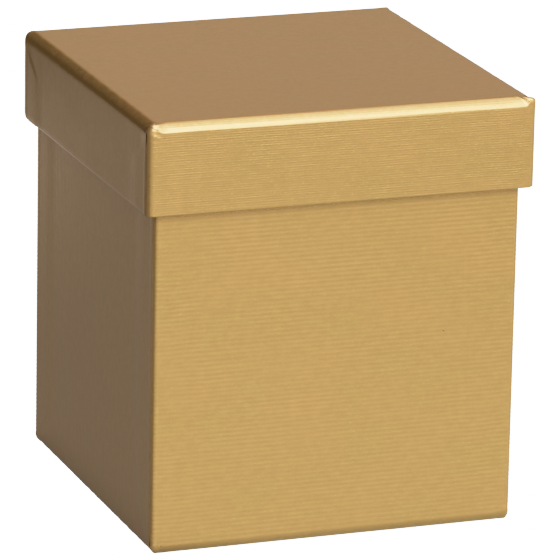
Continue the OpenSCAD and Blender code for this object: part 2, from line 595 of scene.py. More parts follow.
class Mesher:
    """Collects patches, welds them and makes one mesh."""

    LAYERS: tuple[tuple[str, str], ...] = (
        # the third layer holds the painted shade under the other tray's rim and along the seams
        ("fold_wear", "wear"), ("scuff", "scuff"), ("rub", "rub"), ("cut_edge", "cut"),
    )

    def __init__(self) -> None:
        """Starts with no patches."""
        self.patches: list[Patch] = []
        self.faces: list[np.ndarray] = []
        self.count = 0

    def add(self, patch: Patch, flip: bool = False) -> None:
        """Adds one patch.

        Args:
            patch: The grid to add.
            flip: True to turn the faces round.
        """
        rows, columns = patch.points.shape[:2]
        index = self.count + np.arange(rows * columns).reshape(rows, columns)
        quads = np.stack([index[:-1, :-1], index[:-1, 1:], index[1:, 1:], index[1:, :-1]], axis=-1)
        quads = quads.reshape(-1, 4)
        self.faces.append(quads[:, ::-1] if flip else quads)
        self.patches.append(patch)
        self.count += rows * columns

    def trim(self, limit: np.ndarray) -> None:
        """Keeps every point inside a box that stands on zero.

        Args:
            limit: Half width, half depth and height of the box.
        """
        for patch in self.patches:
            patch.points = np.clip(patch.points, limit * (-1, -1, 0), limit)

    def gather(self, name: str, width: int) -> np.ndarray:
        """Joins one of the patches' arrays, a point to a row."""
        return np.concatenate([getattr(patch, name).reshape(-1, width) for patch in self.patches])

    def build(self, name: str, weld: float = 0.002 * MM) -> bpy.types.Object:
        """Welds the patches and makes the object, with no two faces on the same corners.

        Args:
            name: Name of the object.
            weld: Points nearer than this become one.

        Returns:
            The new object.
        """
        points = self.gather("points", 3)
        keys = np.round(points / weld).astype(np.int64)
        _, first, back = np.unique(keys, axis=0, return_index=True, return_inverse=True)
        faces = {}
        for quad in back.reshape(-1)[np.concatenate(self.faces)]:
            loop = [int(point) for rank, point in enumerate(quad) if point != quad[rank - 1]]
            if len(set(loop)) == len(loop) > 2:
                faces.setdefault(frozenset(loop), loop)
        mesh = bpy.data.meshes.new(name)
        mesh.from_pydata(points[first].tolist(), [], list(faces.values()))
        self.note(mesh, first)
        mesh.validate()
        mesh.shade_smooth()
        return stood(name, mesh)

    def note(self, mesh: bpy.types.Mesh, kept: np.ndarray) -> None:
        """Writes what the finish needs to know on the mesh.

        Args:
            mesh: The welded mesh.
            kept: Which of the collected points it kept.
        """
        sheet = mesh.attributes.new("sheet_place", "FLOAT_VECTOR", "POINT")
        flat = np.column_stack([self.gather("place", 2)[kept], np.zeros(len(kept))])
        sheet.data.foreach_set("vector", flat.astype(np.float32).ravel())
        for label, source in self.LAYERS:
            layer = mesh.attributes.new(label, "FLOAT", "POINT")
            layer.data.foreach_set("value", self.gather(source, 1)[kept].astype(np.float32).ravel())


@dataclass
class EndRows:
    """An end panel row by row: along the wall, round the upright corner and onto the side wall as a tab.

    Attributes:
        reach: Outer face of the side wall at each row.
        bend: Radius round the upright corner.
        tab: Length of the tab beyond it.
        lean: How far the tab's end leans in.
        ease_steps, bend_steps, tab_steps: Mesh lines before the corner, round it and over the tab.
    """

    reach: np.ndarray
    bend: np.ndarray
    tab: np.ndarray
    lean: np.ndarray
    ease_steps: int = 4
    bend_steps: int = 9
    tab_steps: int = 3

    def grid(self, stations: np.ndarray) -> tuple[np.ndarray, np.ndarray, np.ndarray, np.ndarray]:
        """Lays the mesh lines.

        Args:
            stations: Mesh lines over the wall, from its middle to where the side's fold starts.

        Returns:
            Place along x, depth behind the wall's face, angle turned round the corner and distance along
            the sheet.
        """
        start = self.reach - self.bend
        level = np.minimum(stations[None, :], start)
        easing = np.linspace(0, 1, self.ease_steps + 1)[None, 1:]
        flat = np.concatenate([level, level[:, -1:] + easing * (start - level[:, -1:])], axis=1)
        bow = np.linspace(0, QUARTER, self.bend_steps + 1)[None, 1:]
        back = np.linspace(0, 1, self.tab_steps + 1)[None, 1:]
        round_x, tab_x = start + self.bend * np.sin(bow), self.reach - self.lean * smooth(0, 1, back)
        round_sink, tab_sink = self.bend * (1 - np.cos(bow)), self.bend + self.tab * back
        tab_beside = start + self.bend * QUARTER + self.tab * back
        x = np.concatenate([flat, round_x, tab_x], axis=1)
        sink = np.concatenate([0 * flat, round_sink, tab_sink], axis=1)
        turn = np.concatenate([0 * flat, bow + 0 * start, QUARTER + 0 * tab_x], axis=1)
        beside = np.concatenate([flat, start + self.bend * bow, tab_beside], axis=1)
        return x, sink, turn, beside


@dataclass
class WrapSheet:
    """One cross-shaped sheet of ribbed paper, folded round a tray that opens upwards.

    All sizes are over the board, in metres, in the tray's own frame with its underside at zero. The side
    panels run on from the floor, and the front and back panels send a tab round each corner under them.

    Attributes:
        half_x, half_y: Half width and half depth over the board.
        limit: Half width, half depth and height that the sheet stays within.
        height: Height of the rim over the wrapping.
        turn_in: Depth of the turned-in flaps.
        layer: Thickness that one layer of the paper takes up on the board.
        stay, wall, lining: Thickness of the stays, the board and the lining.
        crease: Radius inside the board's folds.
        stock: The paper.
        corners: How it was gathered at each corner.
        ease: How the rim's corners are rounded.
        rub: The painted shade under the other tray's rim.
        laps: What lies under it.
        pleat: The form of its gathered folds.
        show_through: Share of a stay's thickness that shows.
        rim_r: Radius where the paper turns over the rim.
        worn_reach, worn_full: Distances from a fold's corner at which its wear ends and is full.
        worn_inset: How far inside the box's corner that corner lies, as a share of the fold's radius.
        seam_shade_width: Width of the painted shade along a side panel's cut edge.
        over_tab: Height above the end of a tab's slant up to which the mesh lines lie close together.
        fine_strip, rim_strip: Width of the strips by the fold and the rim where they do.
        middle_columns, corner_columns: Mesh lines over the middle of the floor and next to its fold.
        strip_steps, fold_steps, foot_steps, wall_steps, rim_steps, flap_steps: Mesh lines of other parts.
        fine_fold: How many times more there are in the fold where the ribs run across the path.
    """

    half_x: float
    half_y: float
    limit: Triple
    height: float
    turn_in: float
    layer: float
    stay: float
    wall: float
    lining: float
    crease: float
    stock: RibbedStock
    corners: dict[Corner, CornerFold]
    ease: RimEase
    rub: RimShade
    corner_columns: int
    laps: Laps = field(default_factory=Laps)
    pleat: Pleat = field(default_factory=Pleat)
    show_through: float = 0.5
    rim_r: float = 0.3 * MM
    worn_reach: float = 4 * MM
    worn_full: float = 0.8 * MM
    worn_inset: float = 0.3
    seam_shade_width: float = 0.5 * MM
    over_tab: float = 1 * MM
    fine_strip: float = 4 * MM
    rim_strip: float = 2 * MM
    middle_columns: int = 5
    strip_steps: int = 3
    fold_steps: int = 9
    fine_fold: int = 3
    foot_steps: int = 10
    wall_steps: int = 5
    rim_steps: int = 3
    flap_steps: int = 3

    @property
    def fold_r(self) -> float:
        """Radius of the wrapped fold."""
        return self.crease + self.wall + self.layer

    @property
    def stand(self) -> float:
        """How far the paper stands out over a corner stay."""
        return self.show_through * self.stay

    @property
    def corner_x(self) -> float:
        """Outer face of the corner tabs."""
        return self.half_x + self.layer + self.stand

    @property
    def corner_y(self) -> float:
        """Outer face of the front and back panels at their ends."""
        return self.half_y + self.layer + self.stand

    @property
    def inner(self) -> float:
        """Thickness from a wall's wrapped outer face to the face of its turned-in flap."""
        return self.wall + self.layer + self.lining

    def panel_end(self, corner: Corner) -> float:
        """Gives how far a side panel reaches towards a corner."""
        return self.corner_y - self.corners[corner].setback

    def by_end(self, side: int, y: np.ndarray, name: str) -> np.ndarray:
        """Gives a value of the corner fold at the nearer end of a side panel."""
        front, back = (getattr(self.corners[Corner((side, end))], name) for end in (-1, 1))
        return np.where(y < 0, front, back)

    def tapered(self, up: np.ndarray) -> np.ndarray:
        """Gives how much the cut across its corner takes off a turned-in flap at a height."""
        return np.clip(self.height - self.turn_in + self.laps.flap_cut - up, 0, self.laps.flap_cut)

    def floor_stations(self) -> np.ndarray:
        """Places the mesh lines along x over the floor, closer together towards the fold."""
        flat = self.half_x + self.layer - self.fold_r
        shoulder = self.corner_x - self.laps.stay_arm
        fine = flat - self.fine_strip
        ease = self.laps.stay_ease
        return np.unique(np.concatenate([
            np.linspace(0, shoulder - ease, self.middle_columns), [shoulder - ease / 2],
            np.linspace(shoulder, fine, self.strip_steps),
            np.linspace(fine, flat, self.corner_columns)[1:],
        ]))

    def wall_stations(self, fine: bool) -> np.ndarray:
        """Places the mesh lines up the wall.

        Args:
            fine: True to step finely enough for the ribs to run across the path.

        Returns:
            Heights from the top of the fold to the start of the rim.
        """
        low, high = self.fold_r, self.height - self.rim_r
        if fine:
            return np.linspace(low, high, round((high - low) / self.stock.step) + 1)
        laid = low + self.laps.tab_slant + self.over_tab
        strip = high - self.rim_strip
        return np.concatenate([
            np.linspace(low, laid, self.foot_steps), np.linspace(laid, strip, self.wall_steps)[1:],
            np.linspace(strip, high, self.strip_steps)[1:],
        ])

    def flap_stations(self) -> np.ndarray:
        """Places the mesh lines down a turned-in flap, closer together along its cut corners."""
        low = self.height - self.turn_in
        cut = np.linspace(low + self.laps.flap_cut, low, self.flap_steps)
        whole = np.linspace(self.height - self.rim_r, low, self.flap_steps)
        return np.unique(np.concatenate([whole, cut]))[::-1][1:]

    def profile(self, half: float, floor: np.ndarray, fine: bool) -> Profile:
        """Makes the stations of a path across the tray.

        Args:
            half: Half size over the board, along the path.
            floor: Stations over the floor, ending where the fold starts.
            fine: True to step finely enough for the ribs to run across the path.

        Returns:
            The stations, from the middle of the floor to the end of the flap.
        """
        r, rim, outer, high = self.fold_r, self.rim_r, half + self.layer, self.height
        mouth = half - self.inner
        turn = np.linspace(0, QUARTER, self.fold_steps * (self.fine_fold if fine else 1) + 1)[1:]
        roll = np.linspace(0, QUARTER, self.rim_steps + 1)[1:]
        wall = self.wall_stations(fine)[1:]
        flap = self.flap_stations()
        top = np.linspace(outer - rim, mouth + rim, self.strip_steps)[1:]
        level = np.zeros_like
        segments = [
            (floor, level(floor), level(floor), level(floor) - 1),
            (outer - r + r * np.sin(turn), r - r * np.cos(turn), np.sin(turn), -np.cos(turn)),
            (level(wall) + outer, wall, level(wall) + 1, level(wall)),
            (outer - rim + rim * np.cos(roll), high - rim + rim * np.sin(roll), np.cos(roll), np.sin(roll)),
            (top, level(top) + high, level(top), level(top) + 1),
            (mouth + rim - rim * np.sin(roll), high - rim + rim * np.cos(roll), -np.sin(roll), np.cos(roll)),
            (level(flap) + mouth, flap, level(flap) - 1, level(flap)),
        ]
        out, up, normal_out, normal_up = (np.concatenate(part) for part in zip(*segments))
        distance = np.concatenate([[0], np.cumsum(np.hypot(np.diff(out), np.diff(up)))])
        fold = np.concatenate([level(floor), turn, np.full(len(out) - len(floor) - len(turn), QUARTER)])
        crossed = np.clip((outer - rim - out) / (outer - mouth - 2 * rim), 0, 1)
        share = np.where(up >= high - rim - TINY, 1 - crossed, 1.0)
        share = np.where((out <= mouth + TINY) & (fold > QUARTER - TINY), 0.0, share)
        return Profile(out, up, normal_out, normal_up, distance, fold, share)

    def worn(self, points: np.ndarray) -> np.ndarray:
        """Tells how near each point lies to the corner of the fold: 1 at it, 0 beyond its worn reach."""
        inset = self.worn_inset * self.fold_r
        gap = np.stack([np.abs(points[..., 0]) - self.corner_x + inset,
                        np.abs(points[..., 1]) - self.corner_y + inset, points[..., 2] - inset], axis=-1)
        return smooth(self.worn_reach, self.worn_full, np.linalg.norm(gap, axis=-1))

    def crumpled(self, patch: Patch, fold: CornerFold) -> None:
        """Dents the corner of the fold and marks how much it was knocked.

        Args:
            patch: The patch that reaches the corner; it is changed.
            fold: How the paper was gathered there.
        """
        near = self.worn(patch.points)
        dents = Waves(fold.seed, self.pleat.dent_longest, self.pleat.dent_shortest)
        level = self.pleat.dent_level + dents.at(patch.place[..., 0], patch.place[..., 1])
        depth = fold.crumple * near * level
        patch.points -= np.maximum(depth, -self.pleat.dent_out)[..., None] * patch.normals
        patch.scuff += fold.scuff * near

    def side_lines(self, side: int, path: Profile) -> np.ndarray:
        """Lays the mesh lines along y over a side panel, stopping at its cut edges.

        Args:
            side: -1 for the left panel, 1 for the right one.
            path: The path out along x.

        Returns:
            Place along y, a station to a row.
        """
        r, lined = self.fold_r, self.half_y - self.wall - self.lining
        flat = self.half_y + self.layer - r
        ends = [self.panel_end(Corner((side, end))) for end in (-1, 1)]
        bounds = []
        for panel_end in ends:
            reach = np.minimum(flat + r * np.sin(path.fold), panel_end)
            reach = np.where(path.share < 1, np.minimum(lined, reach), reach)
            bounds.append(np.where(path.inside, lined - self.tapered(path.up), reach))
        widest = max(ends)
        count = 2 * round(widest / self.stock.step)
        return np.clip(np.linspace(-widest, widest, count + 1)[None, :], -bounds[0], bounds[1])

    def side_raised(self, side: int, path: Profile, y: np.ndarray) -> tuple[np.ndarray, np.ndarray]:
        """Finds how far a side panel stands out over what lies under it.

        Args:
            side: -1 for the left panel, 1 for the right one.
            path: The path out along x.
            y: The mesh lines.

        Returns:
            The distances, and the pressed strip along the cut edges as 1 on it and 0 away from it.
        """
        laps, r, up, inset = self.laps, self.fold_r, path.up, self.corner_y - np.abs(y)
        low = smooth(r + laps.foot[1], r + laps.foot[0], up)
        stay = self.stand * smooth(laps.stay_arm + laps.tab_ease, laps.stay_arm, inset)
        slant = laps.tab_slant * inset / laps.tab_reach + r
        over, on = laps.tab_reach + laps.tab_ease, laps.tab_reach - laps.tab_ease / 2
        tab = laps.tab_show * smooth(over, on, inset)
        tab = tab * smooth(-laps.slant_ease, laps.slant_ease, up - slant)
        lap = self.layer * np.maximum(tab, smooth(laps.lap_ease, laps.lap_full, inset))
        into = self.by_end(side, y, "setback") + laps.pressed_edge - inset
        edge = smooth(0, 1, into / laps.pressed_edge)
        pressed = edge * (self.by_end(side, y, "lift") * low - laps.pressed_share * self.layer * (1 - low))
        return (stay + lap + pressed) * laps.laid(path.fold) * path.share, edge

    def side_panel(self, side: int, path: Profile) -> Patch:
        """Makes half of the floor with one side panel; the ribs run along the path.

        Args:
            side: -1 for the left panel, 1 for the right one.
            path: The path out along x.

        Returns:
            The patch.
        """
        fold, share, r = path.fold, path.share, self.fold_r
        y = self.side_lines(side, path)
        raised, edge = self.side_raised(side, path, y)
        place = np.stack([side * path.distance + 0 * y, y], axis=-1)
        normals = np.stack([side * path.normal_out + 0 * y, 0 * y, path.normal_up + 0 * y], axis=-1)
        points = np.stack([side * (path.out + raised), y, path.up + 0 * y], axis=-1)
        points = points - self.stock.sunk(place, fold, 0 * fold)[..., None] * normals
        laid, setback = self.laps.laid(fold), self.by_end(side, y, "setback")
        wear = np.clip(mid_bend(fold) + edge * laid, 0, 1) + 0 * y
        # painted shade in the seam along the side panel's cut edge, with the painted shade under the other
        # tray's rim
        seam = bell(self.corner_y - np.abs(y), setback, self.seam_shade_width) * self.by_end(side, y, "seam_shade")
        rub = np.maximum(self.rub.at(path.up), seam * laid * share)
        past = self.half_y + self.layer - r + r * np.sin(fold) > self.corner_y - setback
        free = np.where(share < 1, 1.0, self.laps.edge_shown * past) + 0 * y
        patch = Patch(self.ease.settled(points), normals, place, wear, 0 * y, rub, 0 * y, free)
        middle = y.shape[1] // 2
        for end, part in ((-1, slice(middle)), (1, slice(middle, None))):
            half = patch.each(lambda values: values[:, part])
            self.crumpled(half, self.corners[Corner((side, end))])
        return patch

    def end_rows(self, corner: Corner, path: Profile) -> EndRows:
        """Finds how each row of an end panel turns the upright corner.

        Args:
            corner: The corner that the panel reaches.
            path: The path out along y, from the start of the fold.

        Returns:
            The rows.
        """
        laps, pleat, style, r = self.laps, self.pleat, self.corners[corner], self.fold_r
        fold, up, share, sine = path.fold, path.up, path.share, np.sin(path.fold)
        lined = self.half_x - self.wall - self.lining
        outside = np.where(path.inside, 0.0, share)
        stood_out = self.stand * laps.laid(fold)
        plain = self.half_x + self.layer - r + r * sine + stood_out
        square = r * (sine ** (1 - pleat.widened * style.breadth) - sine)
        ear = bell(up, r - pleat.ear_place, pleat.ear_spread) * (path.normal_out > 0) * laps.laid(fold)
        reach = plain + square + pleat.ear_out * style.ear * ear
        reach = np.where(share < 1, self.corner_x * share + (1 - share) * lined, reach)
        reach = np.where(path.inside, lined - self.tapered(up), reach)
        bend = (style.upright + self.stand + self.layer) * sine ** 2 * outside
        depth = self.half_y + self.layer - r + r * sine + stood_out
        tuck = pleat.tuck * smooth(*pleat.tucked, fold)
        tab = np.clip(depth - bend - self.panel_end(corner) + tuck, 0, None)
        run = np.clip((up - r) * laps.tab_reach / laps.tab_slant, 0, laps.tab_reach - laps.tab_clear)
        tab = (tab + run * ((path.normal_out >= 0) & (fold > laps.settled[1]))) * outside
        lean = np.where(share < 1, 0.0, reach - plain) + pleat.lean * smooth(*pleat.leant, fold)
        return EndRows(reach, bend, tab, lean)

    def pleated(self, style: CornerFold, path: Profile, inset: np.ndarray, turn: np.ndarray) -> np.ndarray:
        """Finds how far the pleat stands up on an end panel.

        Args:
            style: How the paper was gathered.
            path: The path out along y.
            inset: Distance from the corner.
            turn: Angle turned round the upright corner.

        Returns:
            The heights along the normal.
        """
        pleat, r = self.pleat, self.fold_r
        shown = smooth(*pleat.raised, path.fold) * smooth(r + pleat.fade, r, path.up)
        return style.ear * pleat.height(inset, turn) * shown

    def end_panel(self, corner: Corner, path: Profile) -> Patch:
        """Makes half of a front or back panel with its corner tab; the ribs run across the path.

        Args:
            corner: The corner that this half reaches.
            path: The path out along y, from the start of the fold.

        Returns:
            The patch.
        """
        (side, end), style, laps = corner.value, self.corners[corner], self.laps
        fold, r = path.fold, self.fold_r
        rows = self.end_rows(corner, path)
        x, sink, turn, beside = rows.grid(self.floor_stations())
        inset = rows.reach - x
        full = smooth(style.gather, style.onset * style.gather, inset)
        power = 1 - self.pleat.squared * style.fullness * full
        turning = (fold > 0) & (fold < QUARTER - TINY)
        out = np.where(turning, self.half_y + self.layer - r + r * np.sin(fold) ** power, path.out)
        rise = np.where(turning, r - r * np.abs(np.cos(fold)) ** power, path.up)
        stay = self.stand * smooth(laps.stay_arm + laps.stay_ease, laps.stay_arm, self.corner_x - x)
        stay = stay * laps.laid(fold) * path.share
        place = np.stack([side * beside, end * path.distance + 0 * x], axis=-1)
        facing, flank = np.cos(turn), np.maximum(path.normal_out, 0) * np.sin(turn)
        normals = [side * flank, end * path.normal_out * facing, path.normal_up * facing]
        normals = np.stack(normals, axis=-1)
        points = np.stack([side * x, end * (out + stay - sink), rise + 0 * x], axis=-1)
        height = self.pleated(style, path, inset, turn) - self.stock.sunk(place, fold, turn)
        points = points + height[..., None] * normals
        wear = np.clip(mid_bend(fold) + np.sin(2 * turn) * flank, 0, 1)
        # painted shade where the seam turns the upright corner, with the painted shade under the other
        # tray's rim
        seam = style.seam_shade * smooth(*self.pleat.seam_shaded, turn) * laps.laid(fold)
        rub = np.maximum(self.rub.at(path.up), seam) * (path.normal_out > 0)
        patch = Patch(self.ease.settled(points), normals, place, wear, 0 * x, rub, 0 * x, 1 + 0 * x)
        self.crumpled(patch, style)
        return patch

    def build(self, name: str) -> bpy.types.Object:
        """Builds the sheet.

        Args:
            name: Name of the piece.

        Returns:
            The sheet, in the tray's frame.
        """
        mesher = Mesher()
        path = self.profile(self.half_x, self.floor_stations(), fine=False).columns()
        for side in (-1, 1):
            mesher.add(self.side_panel(side, path).framed(self.stock.thickness), flip=side < 0)
        flat = self.half_y + self.layer - self.fold_r
        path = self.profile(self.half_y, np.linspace(0, flat, 2), fine=True).beyond(flat).columns()
        for corner in Corner:
            side, end = corner.value
            mesher.add(self.end_panel(corner, path).hemmed(self.stock.thickness), flip=side * end > 0)
        mesher.trim(np.array(self.limit))
        return mesher.build(name)


def shell(name: str, loops: np.ndarray) -> bpy.types.Object:
    """Skins closed loops of points and caps both ends.

    Args:
        name: Name of the object.
        loops: Points, loop by loop.

    Returns:
        The new object.
    """
    rows, columns = loops.shape[:2]
    index = np.arange(rows * columns).reshape(rows, columns)
    onward = np.roll(index, -1, axis=1)
    quads = np.stack([index[:-1], onward[:-1], onward[1:], index[1:]], axis=-1).reshape(-1, 4)
    caps = [index[0][::-1].tolist(), index[-1].tolist()]
    mesh = bpy.data.meshes.new(name)
    mesh.from_pydata(loops.reshape(-1, 3).tolist(), [], quads.tolist() + caps)
    return stood(name, mesh)


@dataclass
class SoftBoard:
    """A tray's board and stays under soft corners, in the tray's frame with its underside at zero.

    Attributes:
        half_x, half_y: Half width and half depth of the board.
        low, high: Heights of its underside and its rim.
        wall: Thickness of the board.
        fold_r: Radius of its fold.
        corners: How the paper was gathered at each corner.
        ease: How the rim's corners are rounded.
        least_radius: Least radius of an upright corner inside the board's outer face.
        corner_steps: Points round an upright corner, round the fold and up to the rim.
    """

    half_x: float
    half_y: float
    low: float
    high: float
    wall: float
    fold_r: float
    corners: dict[Corner, CornerFold]
    ease: RimEase
    least_radius: float = 0.05 * MM
    corner_steps: int = 7

    def rise(self, high: float) -> np.ndarray:
        """Places the mesh lines up to a rim."""
        return np.linspace(high - self.ease.reach, high, self.corner_steps)

    def outline(self, inset: float) -> np.ndarray:
        """Walks round the board.

        Args:
            inset: Distance inside its outer face.

        Returns:
            The points of the outline.
        """
        round_trip = (Corner.BACK_RIGHT, Corner.BACK_LEFT, Corner.FRONT_LEFT, Corner.FRONT_RIGHT)
        parts = []
        for quarter, corner in enumerate(round_trip):
            side, end = corner.value
            radius = max(self.corners[corner].upright, inset + self.least_radius)
            angle = QUARTER * (quarter + np.linspace(0, 1, self.corner_steps))
            x = side * (self.half_x - radius) + (radius - inset) * np.cos(angle)
            y = end * (self.half_y - radius) + (radius - inset) * np.sin(angle)
            parts.append(np.column_stack([x, y]))
        return np.concatenate(parts)

    def board(self, name: str) -> bpy.types.Object:
        """Builds the board."""
        turn = np.linspace(0, QUARTER, self.corner_steps)
        r, low = self.fold_r, self.low
        foot = [(r * (1 - math.sin(angle)), low + r * (1 - math.cos(angle))) for angle in turn]
        outer = [(0.0, height) for height in self.rise(self.high)]
        inner = [(self.wall, height) for height in self.rise(self.high)[::-1]]
        loops = []
        for inset, height in [*foot, *outer, *inner, (self.wall, low + self.wall)]:
            outline = self.outline(inset)
            loops.append(np.column_stack([outline, np.full(len(outline), height)]))
        return shell(name, self.ease.settled(np.array(loops)))

    def stay(self, name: str, corner: Corner, size: Vector, low: float, high: float) -> bpy.types.Object:
        """Builds the paper strip over one upright corner.

        Args:
            name: Name of the strip.
            corner: The corner that it covers.
            size: Length of an arm along x and y, and thickness.
            low: Height of its foot.
            high: Height of its top.

        Returns:
            The strip.
        """
        side, end = corner.value
        radius = self.corners[corner].upright
        angle = np.linspace(0, QUARTER, self.corner_steps)
        heights = np.concatenate([[low], self.rise(high)])
        faces = []
        for out, column in ((size.z, heights), (0.0, heights[::-1])):
            bow_x = self.half_x - radius + (radius + out) * np.cos(angle)
            bow_y = self.half_y - radius + (radius + out) * np.sin(angle)
            x = np.concatenate([[self.half_x + out], bow_x, [self.half_x - size.x]])
            y = np.concatenate([[self.half_y - size.y], bow_y, [self.half_y + out]])
            rows = np.stack([side * x, end * y], axis=-1)[:, None, :].repeat(len(column), axis=1)
            faces.append(np.concatenate([rows, column[None, :, None].repeat(len(x), axis=0)], axis=-1))
        return shell(name, self.ease.settled(np.concatenate(faces, axis=1)))


class Bench:
    """A node tree that is being wired."""

    def __init__(self, tree: bpy.types.NodeTree) -> None:
        """Keeps the tree."""
        self.tree = tree

    def add(self, kind: str, **settings: object) -> bpy.types.Node:
        """Adds a node and gives its settings.

        Args:
            kind: Type of the node.
            **settings: Names and values of the node's settings.

        Returns:
            The node.
        """
        node = self.tree.nodes.new(kind)
        for name, value in settings.items():
            setattr(node, name, value)
        return node

    def put(self, socket: Socket, value: object) -> None:
        """Links a socket to another one, or gives it a value."""
        if isinstance(value, bpy.types.NodeSocket):
            self.tree.links.new(value, socket)
        else:
            socket.default_value = value

    def math(self, operation: str, *values: object) -> Socket:
        """Does sums with values or sockets.

        Args:
            operation: Name of the sum.
            *values: What goes in.

        Returns:
            The result's socket.
        """
        node = self.add("ShaderNodeMath", operation=operation)
        for socket, value in zip(node.inputs, values):
            self.put(socket, value)
        return node.outputs[0]

    def times(self, first: object, second: object) -> Socket:
        """Multiplies two values or sockets."""
        return self.math("MULTIPLY", first, second)

    def total(self, *values: object) -> Socket:
        """Adds several values or sockets up."""
        result = values[0]
        for value in values[1:]:
            result = self.math("ADD", result, value)
        return result

    def split(self, place: object) -> bpy.types.NodeOutputs:
        """Takes a vector apart into X, Y and Z."""
        node = self.add("ShaderNodeSeparateXYZ")
        self.put(node.inputs[0], place)
        return node.outputs

    def scaled(self, place: object, scale: Triple) -> Socket:
        """Stretches a vector by a factor along each axis."""
        node = self.add("ShaderNodeVectorMath", operation="MULTIPLY")
        self.put(node.inputs[0], place)
        self.put(node.inputs[1], scale)
        return node.outputs[0]

    def measured(self, place: object, size: object) -> Socket:
        """Measures a vector in steps of a size."""
        node = self.add("ShaderNodeVectorMath", operation="SCALE")
        self.put(node.inputs[0], place)
        self.put(node.inputs["Scale"], self.math("DIVIDE", 1.0, size))
        return node.outputs[0]

    def along(self, place: object, axis: Triple) -> Socket:
        """Measures a vector along an axis."""
        node = self.add("ShaderNodeVectorMath", operation="DOT_PRODUCT")
        self.put(node.inputs[0], place)
        self.put(node.inputs[1], Vector(axis).normalized())
        return node.outputs["Value"]

    def fade(self, value: object, start: object, full: object) -> Socket:
        """Eases from 0 at start to 1 at full."""
        node = self.add("ShaderNodeMapRange", interpolation_type="SMOOTHSTEP")
        self.put(node.inputs["Value"], value)
        self.put(node.inputs["From Min"], start)
        self.put(node.inputs["From Max"], full)
        return node.outputs["Result"]

    def mix(self, share: object, first: object, second: object, label: str = "") -> Socket:
        """Mixes two colours.

        Args:
            share: Share of the second colour.
            first: Colour at share 0.
            second: Colour at share 1.
            label: Label of the node.

        Returns:
            The mixed colour's socket.
        """
        node = self.add("ShaderNodeMix", data_type="RGBA", label=label)
        self.put(node.inputs["Factor"], share)
        self.put(node.inputs["A"], first)
        self.put(node.inputs["B"], second)
        return node.outputs["Result"]

    def colour(self, tone: Colour) -> Socket:
        """Adds a plain colour."""
        socket = self.add("ShaderNodeRGB").outputs[0]
        socket.default_value = (*tone, 1.0)
        return socket

    def noise(self, place: object, detail: float = 2.0, roughness: float = 0.5) -> Socket:
        """Adds noise with cells about one unit wide."""
        node = self.add("ShaderNodeTexNoise")
        self.put(node.inputs["Vector"], place)
        self.put(node.inputs["Scale"], 1.0)
        self.put(node.inputs["Detail"], detail)
        self.put(node.inputs["Roughness"], roughness)
        return node.outputs[0]

    def effect(self, effect: "Effect", **values: object) -> Sockets:
        """Adds a node group.

        Args:
            effect: The effect that the group makes.
            **values: Values or sockets of its inputs.

        Returns:
            The outputs by name.
        """
        node = self.add("ShaderNodeGroup", node_tree=effect.build(), label=effect.name)
        for name, value in values.items():
            self.put(node.inputs[name], value)
        return {socket.name: socket for socket in node.outputs}

    def attribute(self, name: str, vector: bool = False) -> Socket:
        """Reads an attribute of the mesh."""
        return self.add("ShaderNodeAttribute", attribute_name=name).outputs["Vector" if vector else "Fac"]

    def bump(self, shader: bpy.types.Node, height: Socket, distance: float) -> None:
        """Roughens a shader's normal.

        Args:
            shader: The shader.
            height: Height, where 1 stands for the distance.
            distance: The distance in metres.
        """
        bump = self.add("ShaderNodeBump")
        self.put(bump.inputs["Height"], height)
        self.put(bump.inputs["Distance"], distance)
        self.put(shader.inputs["Normal"], bump.outputs[0])


class Effect:
    """A surface effect that several finishes share, as a node group.

    Its inputs are given as name, description and default value. A scale stretches noise along X, Y and Z: in
    cells per metre where it works on the place, and as a factor where it works on threads or fibres.
    """

    name: str = ""
    inputs: dict[str, tuple[str, float]] = {}
    outputs: tuple[str, ...] = ()

    def wire(self, bench: Bench, given: Sockets) -> tuple[Socket, ...]:
        """Wires the effect; each kind of effect has its own."""
        raise NotImplementedError

    def build(self) -> bpy.types.NodeTree:
        """Makes the node group, or finds it if it was made before."""
        tree = bpy.data.node_groups.get(self.name)
        if tree is not None:
            return tree
        tree = bpy.data.node_groups.new(self.name, "ShaderNodeTree")
        tree.interface.new_socket("Place", in_out="INPUT", socket_type="NodeSocketVector")
        for name, (description, value) in self.inputs.items():
            socket = tree.interface.new_socket(name, in_out="INPUT", socket_type="NodeSocketFloat")
            socket.default_value = value
            socket.description = description
        for name in self.outputs:
            tree.interface.new_socket(name, in_out="OUTPUT", socket_type="NodeSocketFloat")
        bench = Bench(tree)
        given = {socket.name: socket for socket in bench.add("NodeGroupInput").outputs if socket.name}
        out = bench.add("NodeGroupOutput")
        for name, value in zip(self.outputs, self.wire(bench, given)):
            bench.put(out.inputs[name], value)
        return tree


